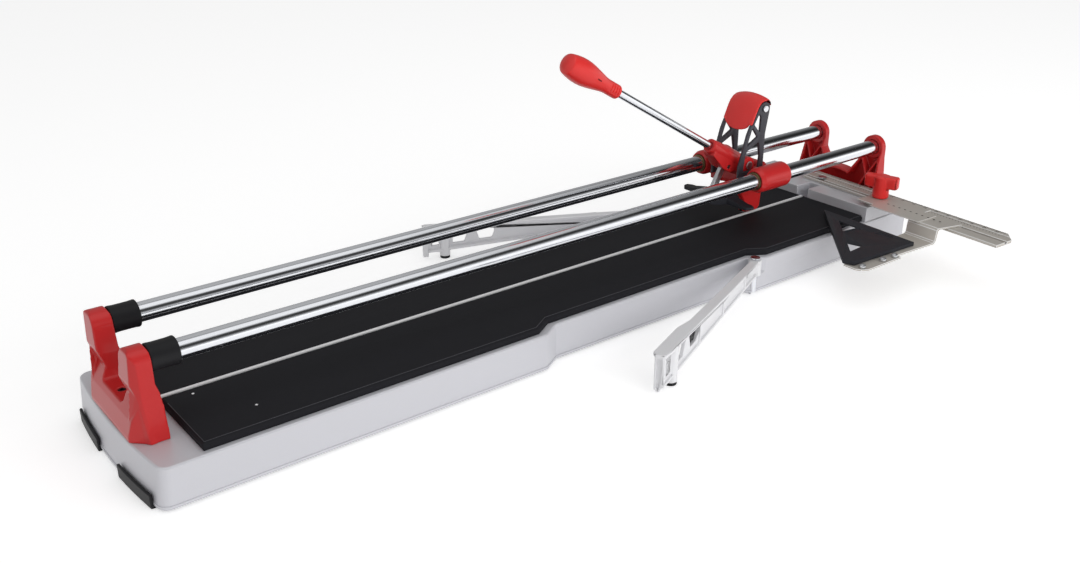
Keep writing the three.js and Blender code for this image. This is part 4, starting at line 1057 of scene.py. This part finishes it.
@dataclass
class Fence(Assembly):
    """The fence block and the swivelling scale bar with its engraving.

    The floor of the bar's clamp groove is lined with a dark strip, as painted shade.
    """

    body: str = "bar"
    copies: tuple[Copy, ...] = (
        Rounded("fence_block", MILL_ALUMINIUM, radius=0.9, body="base"),
        Rounded("bar_pivot_pin", ZINC, radius=0.5, body="base"),
        Rounded("scale_bar", ANODISED_ALUMINIUM, radius=0.6, edge=CUT_EDGE_AND_PAINTED_GLINT),
    )
    rows: tuple[Row, ...] = (
        Row("fine_ticks_rear", u=-22.6, span=(0, 310), step=2.5, size=(2.6, 0.9)),
        Row("long_ticks_rear", u=-22.8, span=(0, 310), step=10, size=(4.2, 0.9)),
        Row("fine_ticks_front", u=-8.8, span=(0, 310), step=5, size=(2.2, 0.9)),
        # Painted shade: a dark strip along the floor of the clamp groove.
        Row("groove_floor_painted_shade", u=5.5, span=(150.5, 150.5), step=1, size=(4.7, 359), drop=2.9),
    )
    figure_line: float = -18.2
    figure_size: float = 5.6
    figure_relief: float = 0.06
    figure_chords: int = 3
    figure_step: int = 20
    last_figure: int = 300
    ruler: Ruler = Ruler()

    def build(self) -> None:
        """Builds the fence, the bar and its pin."""
        super().build()
        for row in self.rows:
            self.ruler.engrave(row, "scale_bar", self.body)
        self.figures()

    def figures(self) -> None:
        """Sets centimetres along the bar, to be read from the operator's end."""
        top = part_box("scale_bar")[1].z
        build = bmesh.new()
        for v in range(self.figure_step, self.last_figure + 1, self.figure_step):
            curve = bpy.data.curves.new("figure", "FONT")
            curve.body = str(v // 10)
            curve.size = self.figure_size * MM
            curve.align_x = "CENTER"
            curve.align_y = "CENTER"
            curve.extrude = self.figure_relief * MM
            curve.resolution_u = self.figure_chords
            mesh = baked(add_object("figure", curve), "figure")
            place = Matrix.Translation(self.ruler.place(self.figure_line, v, top))
            mesh.transform(place @ Matrix.Rotation(math.radians(self.ruler.swing - 90), 4, "Z"))
            build.from_mesh(mesh)
            bpy.data.meshes.remove(mesh)
        bmesh.ops.remove_doubles(build, verts=build.verts, dist=TYPE_WELD * MM)
        bmesh.ops.recalc_face_normals(build, faces=build.faces)
        figures = add_object("bar_figures", mesh_of("bar_figures", build))
        fit(wear(figures, ENGRAVING_AND_GROOVE_SHADE), self.body, ENGRAVING_AND_GROOVE_SHADE)


@dataclass
class SideStop(Assembly):
    """The sliding side stop with its set square, rivets, clamp stud and knob."""

    body: str = "side_stop"
    copies: tuple[Copy, ...] = (
        Rounded("stop_casting", ANODISED_ALUMINIUM, radius=0.6, edge=CUT_EDGE_AND_PAINTED_GLINT),
        Rounded("scale_plate", ANODISED_ALUMINIUM, radius=0.3, edge=CUT_EDGE_AND_PAINTED_GLINT),
        Rounded("set_square", BLACK_NYLON, radius=0.7),
        Rounded("clamp_stud", ZINC, radius=0.4),
        Rounded("stop_rivet_front", ZINC, radius=0.9, steps=3),
        Rounded("stop_rivet_middle", ZINC, radius=0.9, steps=3),
        Rounded("stop_rivet_rear", ZINC, radius=0.9, steps=3),
        Rounded("clamp_knob", RED_PLASTIC, radius=2.4, steps=3, body="knob"),
    )
    punches: Row = Row(
        "punch_marks", u=22.0, span=(146, 236), step=10, size=(2.6, 3.8), mark=Mark.DOME
    )
    ruler: Ruler = Ruler()

    def build(self) -> None:
        """Builds the stop, and punches the row of round marks along its scale plate."""
        super().build()
        self.ruler.engrave(self.punches, "scale_plate", self.body)


@dataclass
class Carriage(Assembly):
    """The carriage casting with its bushes, truss, cover and scoring wheel."""

    body: str = "carriage"
    copies: tuple[Copy, ...] = (
        Softened("carriage_casting", RED_ENAMEL, grid=0.7, passes=4),
        Rounded("head_cover", RED_PLASTIC, radius=1.2),
        Rounded("wheel_holder", RED_ENAMEL, radius=1.0),
        Rounded("truss_pin", CHROME, radius=0.8, steps=3),
        Rounded("lever_pin", ZINC, radius=0.8, steps=3),
        Rounded("wheel_axle", ZINC, radius=0.3),
        Rounded("scoring_wheel", CARBIDE, radius=0.05, body="wheel"),
        Rounded("truss_plate_{side}", GREY_POWDER, radius=0.9),
        Rounded("front_bush_{side}", SINTERED_BRONZE, radius=0.4),
        Rounded("rear_bush_{side}", SINTERED_BRONZE, radius=0.4),
        Rounded("front_screw_{side}", ZINC, radius=0.5),
        Rounded("rear_screw_{side}", ZINC, radius=0.5),
    )


@dataclass
class Lever(Assembly):
    """The lever with its grip, and the breaker foot that it presses down.

    The grip lies along the rod, and distances along it are counted from its neck. Its profiles
    give radii first. In the neck's lip they are counted from the neck's radius, and the end facet
    gives distances back from the grip's end. A slot's profile gives shares of its width and of
    its depth. The slots run out where the shares of the radius in slot_fade are reached.
    """

    body: str = "lever"
    copies: tuple[Copy, ...] = (
        Softened("lever_socket", RED_ENAMEL, grid=0.5, passes=4),
        Rounded("lever_rod", CHROME, radius=0.5),
        Rounded("link_pin", ZINC, radius=0.4),
        Rounded("breaker_link", ZINC, radius=0.8, body="breaker"),
        Rounded("breaker_foot", BLACK_NYLON, radius=0.8, body="breaker"),
    )
    grip_start: float = 277.0
    grip_length: float = 99.7
    grip_sides: int = 96
    rod_radius: float = 5.55
    rod_depth: float = 80.0
    neck_radius: float = 9.6
    neck_lip: tuple[Point, ...] = ((-0.9, 0.0), (-0.2, 0.35), (0.0, 1.2))
    first_slot: float = 5.0
    slots: int = 4
    slot_pitch: float = 4.6
    slot_width: float = 2.2
    slot_depth: float = 1.1
    slot_profile: tuple[Point, ...] = (
        (-0.5, 0.0), (-0.32, 0.85), (0.0, 1.0), (0.32, 0.85), (0.5, 0.0),
    )
    slot_fade: Point = (0.45, 0.7)
    swell: tuple[Point, ...] = (
        (9.8, 24.0), (10.7, 30.0), (12.0, 36.5), (13.6, 44.5), (15.2, 53.0), (16.4, 61.5),
        (16.85, 69.0), (16.6, 76.5), (15.8, 83.5), (14.7, 89.5), (13.7, 93.6),
    )
    facet: tuple[Point, ...] = (
        (13.35, 5.2), (13.0, 4.6), (12.4, 4.2), (7.15, 1.2), (0.0, 0.0),
    )
    # Painted shade: the dark sliver that stands for the mould gate's hollow.
    gate_span: Point = (43.0, 52.0)
    gate_width: float = 1.7
    gate_sunk: float = 0.6
    gate_proud: float = 0.12

    def build(self) -> None:
        """Builds the lever and the breaker."""
        super().build()
        self.grip()
        self.gate_mark()

    def grip_place(self) -> Matrix:
        """The place of the grip, whose own X runs out along the rod from its neck.

        Returns:
            The matrix from that place to the frame.
        """
        pivot = joint_place("lever_hinge")
        low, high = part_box("lever_rod")
        middle = (low + high) / 2 - pivot
        lean = math.atan2(middle.z, -middle.x)
        turn = Matrix.Rotation(lean, 4, "Y") @ Matrix.Rotation(math.pi, 4, "Z")
        start = Matrix.Translation((self.grip_start * MM, 0.0, 0.0))
        return Matrix.Translation(pivot) @ turn @ start

    def outline(self) -> list[Point]:
        """The grip's outer profile, from its neck to its end facet.

        Returns:
            Radius and distance from the neck.
        """
        points = [(self.neck_radius + out, along) for out, along in self.neck_lip]
        for i in range(self.slots):
            middle = self.first_slot + i * self.slot_pitch
            points += [
                (self.neck_radius - deep * self.slot_depth, middle + wide * self.slot_width)
                for wide, deep in self.slot_profile
            ]
        end = ((radius, self.grip_length - back) for radius, back in self.facet)
        return [*points, *self.swell, *end]

    def grip(self) -> None:
        """Turns the grip, and cuts its neck slots on the left and right only."""
        rod, deep = self.rod_radius, self.rod_depth
        profile = [(0.0, deep), (rod, deep), (rod, 0.0), *self.outline()]
        name = "lever_grip_moulded"
        grip = turned(name, profile, Axis.X, (0.0, 0.0, 0.0), self.grip_sides)
        first = self.first_slot - self.slot_width
        last = self.first_slot + self.slots * self.slot_pitch
        fade, gone = self.slot_fade
        for vertex in grip.data.vertices:
            x, y, z = (v / MM for v in vertex.co)
            radius = math.hypot(y, z)
            if first < x < last:
                share = min(max((abs(z) / radius - fade) / (gone - fade), 0.0), 1.0)
                growth = 1 + (self.neck_radius / radius - 1) * share
                vertex.co = (vertex.co.x, vertex.co.y * growth, vertex.co.z * growth)
        grip.data.transform(self.grip_place())
        fit(wear(grip, RED_PLASTIC), self.body, RED_PLASTIC, "lever_grip")

    def radius_at(self, along: float) -> float:
        """The grip's radius.

        Args:
            along: Millimetres from its neck.

        Returns:
            The radius there in millimetres.
        """
        pairs = zip(self.swell, self.swell[1:])
        (r0, s0), (r1, s1) = next(pair for pair in pairs if pair[1][1] >= along)
        return r0 + (r1 - r0) * (along - s0) / (s1 - s0)

    def gate_mark(self) -> None:
        """Sets a dark sliver, painted shade for the gate's hollow, on the grip's right side."""
        low, high = self.gate_span
        half = self.gate_width / 2
        outline = [
            *arc((low + half, 0.0), half, 90, 270),
            *arc((high - half, 0.0), half, -90, 90),
        ]
        build = bmesh.new()
        base = [build.verts.new((x, self.radius_at(x) - self.gate_sunk, z)) for x, z in outline]
        made = bmesh.ops.extrude_face_region(build, geom=[build.faces.new(base)])["geom"]
        for vertex in (v for v in made if isinstance(v, BMVert)):
            vertex.co.y += self.gate_sunk + self.gate_proud
        bmesh.ops.recalc_face_normals(build, faces=build.faces)
        mark = add_object("grip_gate_painted_shade", mesh_of("grip_gate_painted_shade", build))
        mark.data.transform(self.grip_place() @ Matrix.Scale(MM, 4))
        fit(wear(mark, GATE_PAINTED_SHADE), self.body, GATE_PAINTED_SHADE)


@dataclass
class SupportArms(Assembly):
    """The two folding support arms, with their feet and their hinge pins."""

    copies: tuple[Copy, ...] = (
        Rounded("arm_{side}", DIE_CAST, radius=1.0, body="arm_{side}"),
        Rounded("arm_foot_{side}", RUBBER, radius=0.8, body="arm_{side}"),
        Rounded("arm_pin_{side}", CHROME, radius=0.8, steps=3),
    )


# ------------ stage
@dataclass(frozen=True)
class Softbox:
    """A rectangular lamp that doesn't show in gloss, with its sizes in metres."""

    name: str
    place: Triple
    aim: Triple
    size: Point
    power: float

    def build(self) -> None:
        """Hangs the lamp and turns it to its aim."""
        data = bpy.data.lights.new(self.name, "AREA")
        data.shape = "RECTANGLE"
        data.size, data.size_y = self.size
        data.energy = self.power
        lamp = add_object(self.name, data)
        lamp.visible_glossy = False
        lamp.location = self.place
        ray = Vector(self.aim) - lamp.location
        lamp.rotation_euler = ray.to_track_quat("-Z", "Y").to_euler()


@dataclass
class Studio:
    """A pale floor, soft lamps, a glowing drum that paints reflections, a white sky and the camera.

    The camera's lens, sensor and eye are in millimetres, and its heading and dip in degrees. The
    floor and the drum are in metres. The tones of the drum's painted reflections are given by the
    angle round its axis, from the left over the top, at the front end and at the rear end of its
    change along X.
    """

    lens: float = 36.88
    sensor: float = 36.0
    eye: Triple = (-848.3, -1038.1, 629.5)
    heading: float = 38.17
    dip: float = 23.67
    floor_colour: str = "#f2f2f2"
    floor_glow: float = 0.42
    floor_reach: float = 12.0
    sky_light: float = 0.52
    sky_shown: float = 1.0
    lamps: tuple[Softbox, ...] = (
        Softbox("overhead_softbox", (0.1, -0.2, 2.6), (0.0, 0.0, 0.0), (3.0, 2.0), 6.0),
        Softbox("right_softbox", (0.2, -2.8, 0.9), (0.1, 0.0, 0.0), (3.2, 1.6), 46.0),
    )
    drum_radius: float = 3.0
    drum_level: float = 0.13
    drum_ends: Point = (-4.0, 12.0)
    drum_steps: int = 60
    drum_change: Point = (1.0, 3.3)
    drum_climb: float = 30.0
    drum_scale: float = 210.0
    # Painted reflection tones round the drum: angle in degrees and glow.
    drum_front: tuple[Point, ...] = (
        (0, 0.4), (30, 0.45), (70, 0.5), (79, 0.22), (90, 1.0), (122, 1.0), (137, 0.06),
        (152, 0.04), (160, 0.09), (166, 0.2), (176, 0.7), (184, 1.3),
    )
    drum_rear: tuple[Point, ...] = (
        (0, 0.3), (55, 0.3), (77, 0.2), (94, 0.14), (109, 0.07), (123, 0.04), (136, 0.015),
        (155, 0.03), (171, 0.1), (183, 0.5), (194, 1.3), (210, 1.6),
    )

    def build(self) -> None:
        """Builds the stage."""
        self.floor()
        self.paint_reflections()
        for lamp in self.lamps:
            lamp.build()
        self.sky()
        self.camera()
        bpy.context.scene.view_settings.view_transform = "Standard"

    def camera(self) -> None:
        """Stands the camera at the operator's right."""
        data = bpy.data.cameras.new("camera")
        data.lens = self.lens
        data.sensor_width = self.sensor
        data.sensor_fit = "HORIZONTAL"
        camera = add_object("camera", data)
        camera.location = [v * MM for v in self.eye]
        turn = (90 - self.dip, 0.0, -self.heading)
        camera.rotation_euler = [math.radians(angle) for angle in turn]
        bpy.context.scene.camera = camera

    def floor(self) -> None:
        """Lays the floor at the rubber feet's soles. It glows only to the camera and in gloss."""
        build = bmesh.new()
        bmesh.ops.create_grid(build, x_segments=1, y_segments=1, size=self.floor_reach)
        floor = add_object("floor", mesh_of("floor", build))
        floor.location.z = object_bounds()[0].z
        material = bpy.data.materials.new("matt_white_floor")
        tree = blank_tree(material)
        path = add_node(tree, "ShaderNodeLightPath", {}).outputs
        direct = {"operation": "MAXIMUM", 0: path["Is Camera Ray"], 1: path["Is Glossy Ray"]}
        plain = {"Color": linear(self.floor_colour)}
        matt = add_node(tree, "ShaderNodeBsdfDiffuse", plain).outputs[0]
        light = {"Color": WHITE, "Strength": self.floor_glow}
        glow = add_node(tree, "ShaderNodeEmission", light).outputs[0]
        mix = {
            0: add_node(tree, "ShaderNodeMath", direct).outputs[0],
            1: matt,
            2: add_node(tree, "ShaderNodeAddShader", {0: matt, 1: glow}).outputs[0],
        }
        mixed = add_node(tree, "ShaderNodeMixShader", mix).outputs[0]
        add_node(tree, "ShaderNodeOutputMaterial", {"Surface": mixed})
        floor.data.materials.append(material)
        floor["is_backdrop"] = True

    def paint_reflections(self) -> None:
        """Hangs a half drum round the rails that shows only in gloss, where it paints reflections.

        Its painted reflection has a dark slot between a pale top and a bright side. Towards the
        fence the slot climbs and the top darkens.
        """
        build = bmesh.new()
        rows = []
        for y, z in arc((0.0, 0.0), self.drum_radius, 0, 180, self.drum_steps):
            rows.append([build.verts.new((x, y, z)) for x in self.drum_ends])
        for (a, b), (c, d) in zip(rows, rows[1:]):
            build.faces.new((a, b, d, c))
        drum = add_object("painted_reflection_drum", mesh_of("painted_reflection_drum", build))
        drum.location.z = self.drum_level
        drum.data.materials.append(self.reflection_glow())
        drum.visible_camera = False
        drum.visible_diffuse = False
        drum.visible_shadow = False
        drum.visible_transmission = False
        drum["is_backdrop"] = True

    def reflection_glow(self) -> Material:
        """Makes the drum's glow, which paints reflections whose tones change round it and along it.

        Returns:
            The material.
        """
        material = bpy.data.materials.new("painted_reflection_glow")
        tree = blank_tree(material)
        place = add_node(tree, "ShaderNodeTexCoord", {}).outputs["Object"]
        at = add_node(tree, "ShaderNodeSeparateXYZ", {"Vector": place}).outputs
        first, last = self.drum_change
        change = {0: at["X"], 1: first, 2: last}
        along = add_node(tree, "ShaderNodeMapRange", change).outputs[0]
        round_axis = {"operation": "ARCTAN2", 0: at["Z"], 1: at["Y"]}
        angle = add_node(tree, "ShaderNodeMath", round_axis).outputs[0]
        climb = {"operation": "MULTIPLY_ADD", 0: along, 1: math.radians(self.drum_climb), 2: angle}
        climbed = add_node(tree, "ShaderNodeMath", climb).outputs[0]
        scale = {"operation": "DIVIDE", 0: climbed, 1: math.radians(self.drum_scale)}
        share = add_node(tree, "ShaderNodeMath", scale).outputs[0]
        tones = []
        for stops in (self.drum_front, self.drum_rear):
            ramp = add_node(tree, "ShaderNodeValToRGB", {"Fac": share})
            elements = ramp.color_ramp.elements
            for _ in stops[2:]:
                elements.new(1.0)
            for element, (turn, glow) in zip(elements, stops):
                element.position = turn / self.drum_scale
                element.color = (glow, glow, glow, 1.0)
            tones.append(ramp.outputs["Color"])
        mix = {"data_type": "RGBA", 0: along, 6: tones[0], 7: tones[1]}
        tone = add_node(tree, "ShaderNodeMix", mix).outputs[2]
        reflection_glow = add_node(tree, "ShaderNodeEmission", {"Color": tone}).outputs[0]
        add_node(tree, "ShaderNodeOutputMaterial", {"Surface": reflection_glow})
        return material

    def sky(self) -> None:
        """Lights the scene evenly, and shows white to the camera and in gloss and glass."""
        world = bpy.data.worlds.new("studio")
        bpy.context.scene.world = world
        tree = blank_tree(world)
        path = add_node(tree, "ShaderNodeLightPath", {}).outputs
        seen = path["Is Camera Ray"]
        for ray in ("Is Glossy Ray", "Is Transmission Ray"):
            either = {"operation": "MAXIMUM", 0: seen, 1: path[ray]}
            seen = add_node(tree, "ShaderNodeMath", either).outputs[0]
        mix = {0: seen}
        for place, strength in enumerate((self.sky_light, self.sky_shown), 1):
            light = {"Color": WHITE, "Strength": strength}
            mix[place] = add_node(tree, "ShaderNodeBackground", light).outputs[0]
        mixed = add_node(tree, "ShaderNodeMixShader", mix).outputs[0]
        add_node(tree, "ShaderNodeOutputWorld", {"Surface": mixed})


def main() -> None:
    """Builds the tile cutter's looks and its stage."""
    logging.basicConfig(level=logging.INFO, format="%(message)s")
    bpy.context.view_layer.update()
    for group in (Base, Rails, Fence, SideStop, Carriage, Lever, SupportArms):
        group().build()
    Studio().build()


if __name__ == "__main__":
    main()
